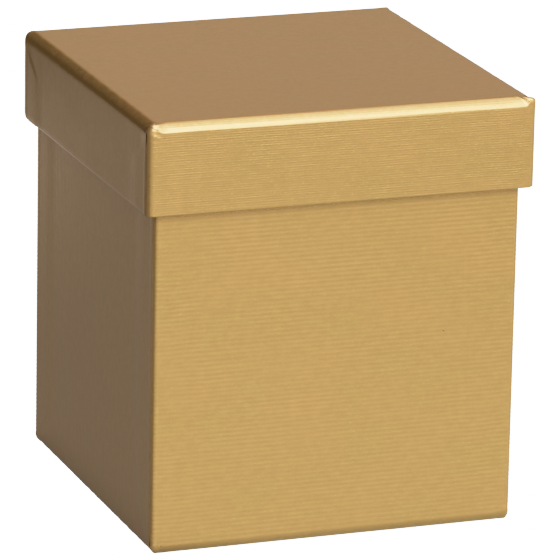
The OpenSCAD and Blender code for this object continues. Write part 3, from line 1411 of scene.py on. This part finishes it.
class ThreadGrain(Effect):
    """The fine threads, bright dashes, slow drift and mottle of metallised ribbed paper."""

    name = "thread_grain"
    inputs = {
        "Length": ("Length of a thread in metres", 1.1 * MM),
        "Width": ("Width of a thread in metres", 0.2 * MM),
    }
    outputs = ("Height", "Dashes", "Drift", "Mottle")
    thread_share: float = 0.6
    speck_scale: Triple = (3200.0, 5200.0, 1.0)
    speck_share: float = 0.5
    dash_scale: Triple = (1.5, 1.4, 1.0)
    dash_range: Range = (0.58, 0.8)
    dash_share: float = 0.3
    drift_scale: Triple = (70.0, 90.0, 1.0)
    mottle_scale: Triple = (420.0, 620.0, 1.0)
    mottle_range: Range = (0.3, 0.7)

    def wire(self, bench: Bench, given: Sockets) -> tuple[Socket, ...]:
        """Stretches noise along the ribs.

        Args:
            bench: The group being wired.
            given: The group's inputs.

        Returns:
            Height, dashes, drift and mottle, each from 0 to about 1.
        """
        place = given["Place"]
        split = bench.split(place)
        join = bench.add("ShaderNodeCombineXYZ")
        bench.put(join.inputs["X"], bench.math("DIVIDE", split["X"], given["Length"]))
        bench.put(join.inputs["Y"], bench.math("DIVIDE", split["Y"], given["Width"]))
        cells = join.outputs[0]
        threads = bench.noise(cells, detail=2.0, roughness=0.6)
        specks = bench.noise(bench.scaled(place, self.speck_scale), detail=1.0)
        dashes = bench.noise(bench.scaled(cells, self.dash_scale), detail=0.0)
        dashes = bench.fade(dashes, *self.dash_range)
        drift = bench.noise(bench.scaled(place, self.drift_scale), detail=3.0)
        mottle = bench.noise(bench.scaled(place, self.mottle_scale), detail=4.0, roughness=0.7)
        mottle = bench.fade(mottle, *self.mottle_range)
        height = bench.total(bench.times(threads, self.thread_share), bench.times(specks, self.speck_share),
                             bench.times(dashes, self.dash_share))
        return height, dashes, drift, mottle


class FineRibs(Effect):
    """The pair of fine lines that runs along each rib of the paper."""

    name = "fine_ribs"
    inputs = {
        "Pitch": ("Distance between the lines in metres", 0.468 * MM),
        "Skew": ("Slope of the lines", 0.008),
    }
    outputs = ("Height",)
    wobble_scale: Triple = (90.0, 400.0, 1.0)
    wobble_share: float = 0.8
    strength_scale: Triple = (160.0, 900.0, 1.0)
    strength_range: Range = (0.25, 0.75)

    def wire(self, bench: Bench, given: Sockets) -> tuple[Socket, ...]:
        """Makes uneven waves across the ribs.

        Args:
            bench: The group being wired.
            given: The group's inputs.

        Returns:
            The height, from 0 to 1.
        """
        place = given["Place"]
        split = bench.split(place)
        across = bench.math("ADD", split["Y"], bench.times(split["X"], given["Skew"]))
        wobble = bench.noise(bench.scaled(place, self.wobble_scale), detail=1.0)
        wobble = bench.times(wobble, self.wobble_share)
        turns = bench.math("ADD", bench.math("DIVIDE", across, given["Pitch"]), wobble)
        wave = bench.math("SINE", bench.times(turns, 2 * math.pi))
        strength = bench.noise(bench.scaled(place, self.strength_scale), detail=1.0)
        level = bench.times(wave, bench.fade(strength, *self.strength_range))
        return (bench.math("ADD", bench.times(level, 0.5), 0.5),)


class FoldWear(Effect):
    """Where handling has dulled a fold or an edge."""

    name = "fold_wear"
    inputs = {
        "Exposure": ("How much the place stands out, 0 to 1", 0.0),
        "Patch": ("Size of a patch in metres", 1.2 * MM),
    }
    outputs = ("Mask",)
    gain: float = 1.5
    worn_range: Range = (0.55, 0.95)

    def wire(self, bench: Bench, given: Sockets) -> tuple[Socket, ...]:
        """Breaks the exposure up into patches.

        Args:
            bench: The group being wired.
            given: The group's inputs.

        Returns:
            The mask.
        """
        place = bench.measured(given["Place"], given["Patch"])
        patches = bench.noise(place, detail=3.0, roughness=0.65)
        worn = bench.times(given["Exposure"], bench.times(patches, self.gain))
        return (bench.fade(worn, *self.worn_range),)


class Pits(Effect):
    """Tiny pits where a corner was knocked, and a few stray specks elsewhere."""

    name = "pits"
    inputs = {
        "Amount": ("How much the place was knocked, 0 to 1", 0.0),
        "Spacing": ("Distance between pits in metres", 0.9 * MM),
    }
    outputs = ("Mask",)
    most: float = 0.5
    stray: float = 0.0012
    pit_range: Range = (0.1, 0.24)

    def wire(self, bench: Bench, given: Sockets) -> tuple[Socket, ...]:
        """Keeps the middles of some cells.

        Args:
            bench: The group being wired.
            given: The group's inputs.

        Returns:
            The mask.
        """
        cells = bench.add("ShaderNodeTexVoronoi")
        bench.put(cells.inputs["Vector"], bench.measured(given["Place"], given["Spacing"]))
        bench.put(cells.inputs["Scale"], 1.0)
        pick = bench.add("ShaderNodeSeparateColor")
        bench.put(pick.inputs[0], cells.outputs["Color"])
        limit = bench.math("ADD", bench.times(given["Amount"], self.most), self.stray)
        chosen = bench.math("LESS_THAN", pick.outputs[0], limit)
        middle = bench.math("SUBTRACT", 1.0, bench.fade(cells.outputs["Distance"], *self.pit_range))
        return (bench.times(chosen, middle),)


class Fibres(Effect):
    """The short fibres and cloudy tone of plain paper and board."""

    name = "fibres"
    inputs = {
        "Size": ("Length of a fibre in metres", 0.9 * MM),
        "Flecks": ("Share of dark flecks, 0 to 1", 0.1),
    }
    outputs = ("Tone", "Fleck", "Height")
    level_scale: Triple = (1.0, 6.0, 6.0)
    upright_scale: Triple = (6.0, 1.5, 1.0)
    cloud_scale: Triple = (0.15, 0.15, 0.15)
    fleck_limit: float = 0.78
    fleck_span: float = 0.15
    fleck_edge: float = 0.04

    def wire(self, bench: Bench, given: Sockets) -> tuple[Socket, ...]:
        """Crosses two stretched noises.

        Args:
            bench: The group being wired.
            given: The group's inputs.

        Returns:
            Tone, flecks and height, each from 0 to 1.
        """
        place = bench.measured(given["Place"], given["Size"])
        level = bench.noise(bench.scaled(place, self.level_scale), roughness=0.6)
        upright = bench.noise(bench.scaled(place, self.upright_scale), roughness=0.6)
        clouds = bench.noise(bench.scaled(place, self.cloud_scale), detail=4.0, roughness=0.6)
        woven = bench.times(bench.math("ADD", level, upright), 0.5)
        limit = bench.math("SUBTRACT", self.fleck_limit, bench.times(given["Flecks"], self.fleck_span))
        fleck = bench.fade(level, limit, bench.math("ADD", limit, self.fleck_edge))
        return bench.math("ADD", bench.times(woven, 0.5), bench.times(clouds, 0.5)), fleck, woven


def new_material(name: str) -> tuple[bpy.types.Material, Bench, bpy.types.Node]:
    """Makes a material with its own shader.

    Args:
        name: Name of the material.

    Returns:
        The material, its bench and its shader.
    """
    material = bpy.data.materials.new(name)
    material.use_nodes = True
    return material, Bench(material.node_tree), material.node_tree.nodes["Principled BSDF"]


@dataclass(frozen=True)
class GoldPaper:
    """Metallic gold paper under a thin clear coat, with its plain core in the cut edges.

    Attributes:
        name: Name of the material.
        dash_share, painted_glint: Share of the bright dashes and their colour, a painted glint where raised
            threads catch the light.
        line_depth: Depth of the fine lines, as a share of the thread grain's.
        grain_depth: Depth of the thread grain.
        mottle_and_shade, mottle: Dark gold of the mottle and of the painted shade, and its share in the
            mottle.
        warm, warm_share, warm_range: Colour of the drift, its share and where it comes in.
        rubbed, mottle: Colour of rubbed paper, and its share in the mottle.
        rub_range: Heights of the grain between which the painted shade darkens a place.
        worn, worn_share: Colour of worn folds and its share there.
        worn_rough, worn_coat: How much rougher a worn place is and how much thinner its coat.
        pit, pit_depth: Colour of a pit and its height, which is less than 0.
        core, core_rough: Colour of a cut edge and how much rougher it is.
        edge_tint: Tint of the metal seen at a low angle.
        metal, roughness, coat, coat_roughness: Settings of the shader where nothing is worn.
        drift: How much the roughness varies.
        scuff_wear: Share of the scuffing that counts as a fold's wear.
    """

    name: str
    dash_share: float
    line_depth: float
    grain_depth: float
    gold: Colour = (0.556, 0.305, 0.0845)
    painted_glint: Colour = (0.8, 0.5, 0.17)
    warm: Colour = (0.583, 0.297, 0.089)
    warm_share: float = 0.5
    warm_range: Range = (0.35, 0.65)
    mottle_and_shade: Colour = (0.33, 0.17, 0.045)
    mottle: float = 0.18
    rub_range: Range = (0.2, 0.8)
    worn: Colour = (0.62, 0.38, 0.15)
    worn_share: float = 0.5
    worn_rough: float = 0.07
    worn_coat: float = 0.3
    pit: Colour = (0.16, 0.09, 0.03)
    pit_depth: float = -3.0
    core: Colour = (0.42, 0.33, 0.22)
    core_rough: float = 0.5
    edge_tint: tuple[float, float, float, float] = (0.84, 0.71, 0.57, 1.0)
    metal: float = 0.78
    roughness: float = 0.3
    coat: float = 0.8
    coat_roughness: float = 0.14
    drift: float = 0.05
    scuff_wear: float = 0.4

    def tone(self, bench: Bench, grain: Sockets, worn: Socket, pits: Socket, cut: Socket) -> Socket:
        """Lays the paper's colours over one another.

        Args:
            bench: The material's bench.
            grain: Outputs of the thread grain.
            worn: Mask of the worn folds.
            pits: Mask of the pits.
            cut: Mask of the cut edges.

        Returns:
            The colour's socket.
        """
        # painted shade under the other tray's rim and along the seams, broken up by the grain
        rub = bench.times(bench.attribute("rub"), bench.fade(grain["Height"], *self.rub_range))
        layers = (
            # painted glint: the raised dashes made lighter in colour, as if they caught the light; their
            # height also goes into the bump
            (bench.times(grain["Dashes"], self.dash_share), self.painted_glint),
            (bench.times(bench.fade(grain["Drift"], *self.warm_range), self.warm_share), self.warm),
            (bench.times(grain["Mottle"], self.mottle), self.mottle_and_shade),
            (bench.times(worn, self.worn_share), self.worn),
            # the painted shade, laid on in the dark gold
            (rub, self.mottle_and_shade),
            (pits, self.pit),
            (cut, self.core),
        )
        tone = (*self.gold, 1.0)
        for share, colour in layers:
            tone = bench.mix(share, tone, (*colour, 1.0))
        return tone

    def build(self) -> bpy.types.Material:
        """Makes the material."""
        material, bench, shader = new_material(self.name)
        place = bench.attribute("sheet_place", vector=True)
        cut = bench.attribute("cut_edge")
        scuff = bench.attribute("scuff")
        exposure = bench.total(bench.attribute("fold_wear"), bench.times(scuff, self.scuff_wear))
        grain = bench.effect(ThreadGrain(), Place=place)
        lines = bench.effect(FineRibs(), Place=place)["Height"]
        worn = bench.effect(FoldWear(), Place=place, Exposure=exposure)["Mask"]
        pits = bench.effect(Pits(), Place=place, Amount=scuff)["Mask"]
        kept = bench.math("SUBTRACT", 1.0, cut)
        uneven = bench.times(bench.math("SUBTRACT", grain["Drift"], 0.5), self.drift)
        rough = bench.total(self.roughness, uneven, bench.times(worn, self.worn_rough),
                            bench.times(cut, self.core_rough))
        coat = bench.math("SUBTRACT", self.coat, bench.times(worn, self.worn_coat))
        bench.put(shader.inputs["Base Color"], self.tone(bench, grain, worn, pits, cut))
        bench.put(shader.inputs["Metallic"], bench.times(kept, self.metal))
        bench.put(shader.inputs["Roughness"], rough)
        bench.put(shader.inputs["Coat Weight"], bench.times(kept, coat))
        bench.put(shader.inputs["Coat Roughness"], self.coat_roughness)
        bench.put(shader.inputs["Specular Tint"], self.edge_tint)
        height = bench.total(grain["Height"], bench.times(lines, self.line_depth),
                             bench.times(pits, self.pit_depth))
        bench.bump(shader, height, self.grain_depth)
        return material


@dataclass(frozen=True)
class PlainStock:
    """Uncoated paper or board with visible fibres.

    Attributes:
        name: Name of the material.
        light, dark: Colours between which it is clouded.
        fleck, flecks: Colour of the flecks, and how many there are, from 0 to 1.
        fibre: Length of a fibre.
        roughness, uneven: Roughness in the hollows, and how much more there is on the fibres.
        depth: Depth of the fibres.
        shine: Level of the shader's highlight.
        cloud_range: Tones between which it goes from dark to light.
    """

    name: str
    light: Colour
    dark: Colour
    fleck: Colour
    flecks: float = 0.1
    fibre: float = 0.9 * MM
    roughness: float = 0.8
    uneven: float = 0.1
    depth: float = 0.012 * MM
    shine: float = 0.3
    cloud_range: Range = (0.3, 0.7)

    def build(self) -> bpy.types.Material:
        """Makes the material."""
        material, bench, shader = new_material(self.name)
        place = bench.add("ShaderNodeTexCoord").outputs["Object"]
        fibres = bench.effect(Fibres(), Place=place, Size=self.fibre, Flecks=self.flecks)
        clouds = bench.fade(fibres["Tone"], *self.cloud_range)
        tone = bench.mix(clouds, (*self.dark, 1.0), (*self.light, 1.0))
        tone = bench.mix(fibres["Fleck"], tone, (*self.fleck, 1.0))
        rough = bench.math("ADD", self.roughness, bench.times(fibres["Height"], self.uneven))
        bench.put(shader.inputs["Base Color"], tone)
        bench.put(shader.inputs["Roughness"], rough)
        bench.put(shader.inputs["Specular IOR Level"], self.shine)
        bench.bump(shader, fibres["Height"], self.depth)
        return material


@dataclass(frozen=True)
class PhotoCamera:
    """The camera that took the photograph, fitted to the box's outlines in it.

    Attributes:
        image: Width of the photograph in pixels.
        focal: Focal length in pixels.
        yaw, pitch, roll: Its turn to the left, up and about its own axis, in radians.
        distance: Distance from the middle of the box.
        aside, above: How far it was moved to its right and up.
        sensor: Width of the sensor in millimetres.
        near, far: Distances between which it sees.
    """

    image: float = 560.0
    focal: float = 5347.6
    yaw: float = -0.3539
    pitch: float = 0.28606
    roll: float = 0.0197
    distance: float = 1.0836
    aside: float = 0.00183
    above: float = -0.0013
    sensor: float = 36.0
    near: float = 0.05
    far: float = 20.0

    def build(self, centre: Vector) -> bpy.types.Object:
        """Makes the camera.

        Args:
            centre: Middle of the closed box.

        Returns:
            The camera.
        """
        level = math.cos(self.pitch)
        back = Vector((math.sin(self.yaw) * level, -math.cos(self.yaw) * level, math.sin(self.pitch)))
        aside = Vector((math.cos(self.yaw), math.sin(self.yaw), 0))
        upward = back.cross(aside)
        right = math.cos(self.roll) * aside + math.sin(self.roll) * upward
        up = -math.sin(self.roll) * aside + math.cos(self.roll) * upward
        data = bpy.data.cameras.new("photo_camera")
        data.sensor_width = self.sensor
        data.lens = self.focal / self.image * self.sensor
        data.clip_start = self.near
        data.clip_end = self.far
        camera = stood("photo_camera", data)
        place = centre + self.aside * right + self.above * up + self.distance * back
        camera.matrix_world = Matrix.Translation(place) @ Matrix((right, up, back)).transposed().to_4x4()
        bpy.context.scene.camera = camera
        return camera


@dataclass(frozen=True)
class Zone:
    """A soft-edged patch of the surround, or of what the floor mirrors back.

    Each bound is an axis and the two measures along it between which the patch fades in: cosines for the
    surround, metres for the floor.
    """

    name: str
    level: Colour
    bounds: tuple[tuple[Triple, float, float], ...]

    def over(self, bench: Bench, where: Socket, tone: Socket) -> Socket:
        """Lays the patch over what is there.

        Args:
            bench: The node tree.
            where: Direction or place that the bounds measure.
            tone: Colour beneath the patch.

        Returns:
            The colour with the patch on it.
        """
        share = 1.0
        for axis, start, full in self.bounds:
            share = bench.times(share, bench.fade(bench.along(where, axis), start, full))
        return bench.mix(share, tone, (*self.level, 1.0), self.name)


@dataclass(frozen=True)
class Studio:
    """A plain pale floor and an even surround with soft bright and dark panels.

    Attributes:
        floor_half: Half width of the floor.
        floor_drop: How far it lies below the box.
        white: How bright the camera sees the floor.
        knee: Light up to which the picture is plain.
        brightest: Light that the picture shows as white.
        curve_steps: Steps of the curve between them.
        contact_reach: Distance over which the floor is shaded round the box.
        contact_tone: Share of its light that it keeps under the box.
        surround: Light of the surround between its panels.
        panels: Its panels, by direction.
        floor_tone: Light of the floor, as the box mirrors it, between its zones.
        floor_zones: Its zones, by place.
    """

    floor_half: float = 3.0
    floor_drop: float = 0.02 * MM
    white: float = 2.6
    knee: float = 0.45
    brightest: float = 2.6
    curve_steps: int = 24
    contact_reach: float = 9 * MM
    contact_tone: float = 0.36
    surround: Colour = (0.25, 0.25, 0.25)
    panels: tuple[Zone, ...] = (
        Zone("back_right", (0.51, 0.425, 0.315), ((BACK, 0.1, 0.5), (UP, 0.0, 0.2))),
        Zone("front_box", (3.15, 3.42, 4.3), ((FRONT, 0.0, 0.4), (UP, -0.14, -0.01), (RIGHT, -0.75, -0.25))),
        Zone("front_glow", (4.6, 5.05, 6.8), (
            (FRONT, 0.0, 0.4), (UP, -0.14, -0.01), (LEFT, -0.4, -0.22), (RIGHT, -0.3, 0.1))),
        Zone("left_flag", (0.08, 0.08, 0.08), ((LEFT, 0.5, 0.8), (DOWN, -0.5, -0.2))),
        Zone("right_box", (0.75, 0.75, 0.75), ((RIGHT, 0.6, 0.85), (UP, -0.1, 0.1))),
        Zone("back_flag", (0.05, 0.035, 0.015), ((BACK, 0.1, 0.5), (LEFT, -0.32, 0.0), (DOWN, -0.75, -0.5))),
        Zone("overhead_box", (1.94, 2.04, 2.24), (
            (UP, 0.6, 0.95), (FRONT, -0.7, -0.3), (RIGHT, -0.2, 0.15))),
    )
    floor_tone: Colour = (0.275, 0.274, 0.262)
    floor_zones: tuple[Zone, ...] = (
        Zone("floor_behind", (0.9, 0.88, 0.82), (((1.0, 0.4, 0.0), -0.01, 0.04), (BACK, -0.02, 0.05))),
        Zone("floor_end", (0.085, 0.07, 0.045), ((BACK, 0.25, 0.45), (LEFT, -0.04, 0.04))),
        Zone("floor_front", (0.75, 0.86, 0.77), (((0.45, -1.0, 0.0), 0.01, 0.03),)),
        Zone("floor_middle", (0.625, 0.725, 0.625), (((0.3, -1.0, 0.0), 0.1, 0.3),)),
        Zone("floor_far", (0.6, 0.6, 0.6), (((0.3, -1.0, 0.0), 0.42, 0.9),)),
    )

    def build(self, low: Vector, high: Vector) -> None:
        """Makes the floor and the surround.

        Args:
            low: Lowest corner of what stands on the floor.
            high: Highest corner of what stands on the floor.
        """
        self.lay_floor(low, high)
        world = bpy.data.worlds.new("surround")
        world.use_nodes = True
        bench = Bench(world.node_tree)
        way = bench.add("ShaderNodeTexCoord").outputs["Generated"]
        tone = bench.colour(self.surround)
        for panel in self.panels:
            tone = panel.over(bench, way, tone)
        bench.put(world.node_tree.nodes["Background"].inputs["Color"], tone)
        bpy.context.scene.world = world
        self.soften_highlights()

    def soften_highlights(self) -> None:
        """Gives the picture a shoulder, so that bright folds keep their colour as on film."""
        view = bpy.context.scene.view_settings
        view.view_transform = "Standard"
        view.use_curve_mapping = True
        curves = view.curve_mapping
        curves.white_level = (self.brightest,) * 3
        curve = curves.curves[3]
        room = 1.0 - self.knee
        curve.points[0].location = (0.0, 0.0)
        curve.points[1].location = (1.0, 1.0)
        for step in range(1, self.curve_steps):
            light = shown = self.brightest * (step / self.curve_steps) ** 2
            if light >= self.knee:
                shown = self.knee + room * (1.0 - math.exp((self.knee - light) / room))
            curve.points.new(light / self.brightest, shown)
        for point in curve.points:
            point.handle_type = "VECTOR"
        curves.update()

    def contact(self, bench: Bench, place: Socket, low: Vector, high: Vector) -> Socket:
        """Shades the floor where the box touches it.

        Args:
            bench: The floor's bench.
            place: Place on the floor.
            low: Lowest corner of the box.
            high: Highest corner of the box.

        Returns:
            Share of its light that the floor keeps.
        """
        split = bench.split(place)
        reaches = (("X", max(high.x, -low.x)), ("Y", max(high.y, -low.y)))
        gaps = [bench.math("SUBTRACT", bench.math("ABSOLUTE", split[axis]), half) for axis, half in reaches]
        gap = bench.math("SMOOTH_MAX", *gaps, self.contact_reach / 2)
        open_share = bench.fade(gap, -self.contact_reach, self.contact_reach)
        return bench.math("ADD", self.contact_tone, bench.times(open_share, 1.0 - self.contact_tone))

    def lay_floor(self, low: Vector, high: Vector) -> None:
        """Lays the pale floor just under the box, which mirrors its zones; the camera sees it white.

        Args:
            low: Lowest corner of what stands on the floor.
            high: Highest corner of what stands on the floor.
        """
        half, drop = self.floor_half, -self.floor_drop
        mesh = bpy.data.meshes.new("floor")
        points = [(-half, -half, drop), (half, -half, drop), (half, half, drop), (-half, half, drop)]
        mesh.from_pydata(points, [], [(0, 1, 2, 3)])
        floor = stood("floor", mesh)
        material, bench, shader = new_material("pale_floor")
        place = bench.add("ShaderNodeTexCoord").outputs["Object"]
        tone = bench.colour(self.floor_tone)
        for zone in self.floor_zones:
            tone = zone.over(bench, place, tone)
        shaded = bench.mix(self.contact(bench, place, low, high), BLACK, tone)
        seen = bench.add("ShaderNodeLightPath").outputs["Is Camera Ray"]
        bench.put(shader.inputs["Emission Color"], bench.mix(seen, shaded, (*(self.white,) * 3, 1.0)))
        bench.put(shader.inputs["Emission Strength"], 1.0)
        bench.put(shader.inputs["Base Color"], BLACK)
        bench.put(shader.inputs["Specular IOR Level"], 0.0)
        mesh.materials.append(material)


@dataclass
class Tray:
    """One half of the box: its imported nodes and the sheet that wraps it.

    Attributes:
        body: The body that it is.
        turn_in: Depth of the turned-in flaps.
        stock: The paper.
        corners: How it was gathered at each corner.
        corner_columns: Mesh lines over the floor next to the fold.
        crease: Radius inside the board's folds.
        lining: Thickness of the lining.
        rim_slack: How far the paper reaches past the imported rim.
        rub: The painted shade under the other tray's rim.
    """

    body: Body
    turn_in: float
    stock: RibbedStock
    corners: dict[Corner, CornerFold]
    corner_columns: int
    crease: float = 0.5 * MM
    lining: float = 0.1 * MM
    rim_slack: float = 0.0
    rub: RimShade = field(default_factory=RimShade)

    @property
    def upside_down(self) -> bool:
        """Tells whether the tray opens downwards."""
        return self.body is Body.LID

    @property
    def board_corner(self) -> Vector:
        """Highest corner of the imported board."""
        return self.extent("board")[1]

    @property
    def stay_thickness(self) -> float:
        """Thickness of the stays."""
        return self.extent("stay_front_right")[1].x - self.board_corner.x

    def node(self, part: str) -> str:
        """Names one of the tray's nodes."""
        return f"{self.body.value}_{part}"

    def extent(self, part: str) -> tuple[Vector, Vector]:
        """Gives the box of one of the tray's nodes."""
        low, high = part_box(self.node(part))
        return Vector(low), Vector(high)

    def span(self, part: str) -> tuple[float, float]:
        """Gives the lowest and highest height of a node in the tray's own frame."""
        low, high = self.extent(part)
        wrap_low, wrap_high = self.extent("wrap")
        if self.upside_down:
            return wrap_high.z - high.z, wrap_high.z - low.z
        return low.z - wrap_low.z, high.z - wrap_low.z

    def ease(self) -> RimEase:
        """Sets out how the rim's corners are rounded."""
        corner = self.board_corner
        return RimEase(corner.x, corner.y, self.span("wrap")[1] + self.rim_slack, self.corners)

    def settle(self, piece: bpy.types.Object, part: str, slot: Slot, finish: bpy.types.Material) -> None:
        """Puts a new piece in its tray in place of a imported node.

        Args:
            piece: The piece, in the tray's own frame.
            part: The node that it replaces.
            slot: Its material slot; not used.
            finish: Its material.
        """
        if self.upside_down:
            high = self.extent("wrap")[1]
            piece.data.transform(Matrix.Translation((0, 0, high.z)) @ Matrix.Scale(-1, 4, UP))
            piece.data.flip_normals()
        piece.data.materials.append(finish)
        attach(piece, self.body.value)
        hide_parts(self.node(part))
        LOG.info("%s: %d faces", piece.name, len(piece.data.polygons))

    def wrap(self, finish: bpy.types.Material) -> None:
        """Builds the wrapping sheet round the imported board.

        Args:
            finish: Material of the sheet.
        """
        high, board, ease = self.extent("wrap")[1], self.board_corner, self.ease()
        layer = self.span("board")[0]
        sheet = WrapSheet(
            half_x=board.x, half_y=board.y, limit=(high.x, high.y, ease.height), height=ease.height,
            turn_in=self.turn_in, layer=layer, stay=self.stay_thickness, wall=self.span("liner")[0] - layer,
            lining=self.lining, crease=self.crease, stock=self.stock, corners=self.corners, ease=ease,
            rub=self.rub, corner_columns=self.corner_columns,
        )
        self.settle(sheet.build(self.node("wrap_sheet")), "wrap", Slot.WRAP, finish)

    def soften(self, finishes: dict[str, bpy.types.Material]) -> None:
        """Rounds the board and its stays where the paper over them is rounded.

        Args:
            finishes: Material by the word that a node's name holds.
        """
        board, thickness = self.board_corner, self.stay_thickness
        low, high = self.span("board")
        wall = self.span("liner")[0] - low
        soft = SoftBoard(board.x, board.y, low, high, wall, self.crease + wall, self.corners, self.ease())
        self.settle(soft.board(self.node("board_soft")), "board", Slot.BOARD, finishes["board"])
        for corner in Corner:
            part = f"stay_{corner.name.lower()}"
            stay_low, stay_high = self.extent(part)
            arms = stay_high - stay_low
            size = Vector((arms.x - thickness, arms.y - thickness, thickness))
            strip = soft.stay(self.node(f"{part}_strip"), corner, size, *self.span(part))
            self.settle(strip, part, Slot.STAY, finishes["stay"])

    def dress(self, finishes: dict[str, bpy.types.Material]) -> None:
        """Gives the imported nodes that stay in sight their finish.

        Args:
            finishes: Material by the word that a node's name holds.
        """
        for name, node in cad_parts.items():
            for word, finish in finishes.items():
                if name.startswith(f"{self.body.value}_{word}"):
                    node.data.materials.clear()
                    node.data.materials.append(finish)
                    LOG.info("%s: finished in %s", name, finish.name)


@dataclass(frozen=True)
class FavourBox:
    """The whole box: how each tray was wrapped and what everything is made of.

    Attributes:
        stock: The base's paper.
        base_turn_in, lid_turn_in: Depth of the turned-in flaps.
        lid_slack: How far the lid's paper hangs below its imported rim.
    """

    stock: RibbedStock = field(default_factory=RibbedStock)
    base_turn_in: float = 16 * MM
    lid_turn_in: float = 12 * MM
    lid_slack: float = 0.45 * MM

    def base_corners(self) -> dict[Corner, CornerFold]:
        """Gives the corners of the base, with the knocked one at the front left."""
        return {
            Corner.FRONT_LEFT: CornerFold(
                fullness=0.1, breadth=0.05, crumple=0.045 * MM, lift=-0.06 * MM, scuff=0.8, seed=21),
            Corner.FRONT_RIGHT: CornerFold(fullness=0.1, breadth=1.3, scuff=0.3, seed=22),
            Corner.BACK_LEFT: CornerFold(fullness=0.25, seed=23),
            Corner.BACK_RIGHT: CornerFold(fullness=0.3, seed=24),
        }

    def lid_corners(self) -> dict[Corner, CornerFold]:
        """Gives the corners of the lid: rounder and with painted shade in the seam at the front left,
        squared at the front right.
        """
        return {
            # the front left seam is darkened with painted shade
            Corner.FRONT_LEFT: CornerFold(
                fullness=0.7, gather=3.3 * MM, ear=0.03 * MM, setback=1.5 * MM, upright=1.4 * MM, seam_shade=1.0,
                seed=31),
            Corner.FRONT_RIGHT: CornerFold(
                fullness=0.92, gather=2.1 * MM, onset=0.7, rim=0.9 * MM, ear=0.1 * MM, crumple=0.0, seed=32),
            Corner.BACK_LEFT: CornerFold(
                fullness=0.14, ear=0.02 * MM, crumple=0.03 * MM, rim=2.6 * MM, seed=33),
            Corner.BACK_RIGHT: CornerFold(
                fullness=0.2, ear=0.02 * MM, crumple=0.02 * MM, rim=0.9 * MM, seed=34),
        }

    def trays(self) -> tuple[Tray, Tray]:
        """Sets out the base and the lid."""
        fine = replace(self.stock, pairing=0.65, steps_per_rib=8, rib_depth=0.012 * MM, skew=0.006,
                       fold_gain=3.0)
        # painted shade under the lid's rim, laid on the base's paper; it stays when the lid is off
        rub = RimShade(rim=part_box("lid_wrap")[0][2] - self.lid_slack)
        base = Tray(Body.BASE, self.base_turn_in, self.stock, self.base_corners(), corner_columns=6, rub=rub)
        lid = Tray(Body.LID, self.lid_turn_in, fine, self.lid_corners(), corner_columns=12,
                   rim_slack=self.lid_slack)
        return base, lid

    def golds(self) -> dict[Body, GoldPaper]:
        """Gives the gold paper of each tray."""
        base = GoldPaper(name="gold_paper_base", line_depth=0.1, dash_share=0.2, grain_depth=0.012 * MM)
        lid = GoldPaper(name="gold_paper_lid", gold=(0.538, 0.297, 0.083), line_depth=1.0, dash_share=0.36,
                        grain_depth=0.009 * MM)
        return {Body.BASE: base, Body.LID: lid}

    def plain_stocks(self) -> dict[str, PlainStock]:
        """Gives the plain stocks by the word that a node's name holds."""
        board = PlainStock("chipboard", (0.62, 0.6, 0.56), (0.5, 0.48, 0.44), (0.3, 0.28, 0.25), flecks=0.4)
        liner = PlainStock("lining_paper", (0.94, 0.93, 0.9), (0.9, 0.89, 0.85), (0.86, 0.84, 0.8),
                           depth=0.006 * MM)
        stay = PlainStock("stay_paper", (0.74, 0.6, 0.42), (0.62, 0.48, 0.32), (0.45, 0.33, 0.2), flecks=0.3)
        return {"board": board, "liner": liner, "stay": stay}

    def build(self) -> None:
        """Wraps and finishes both trays."""
        golds = self.golds()
        finishes = {word: stock.build() for word, stock in self.plain_stocks().items()}
        for tray in self.trays():
            tray.wrap(golds[tray.body].build())
            tray.dress(finishes)
            if not tray.ease().sharp:
                tray.soften(finishes)


def main() -> None:
    """Builds the camera, the studio and the box in order."""
    logging.basicConfig(level=logging.INFO, format="%(name)s %(message)s")
    low, high = (Vector(corner) for corner in cad_box)
    PhotoCamera().build((low + high) / 2)
    base_low, base_high = (Vector(corner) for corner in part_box("base_wrap"))
    Studio().build(base_low, base_high)
    FavourBox().build()


if __name__ == "__main__":
    main()
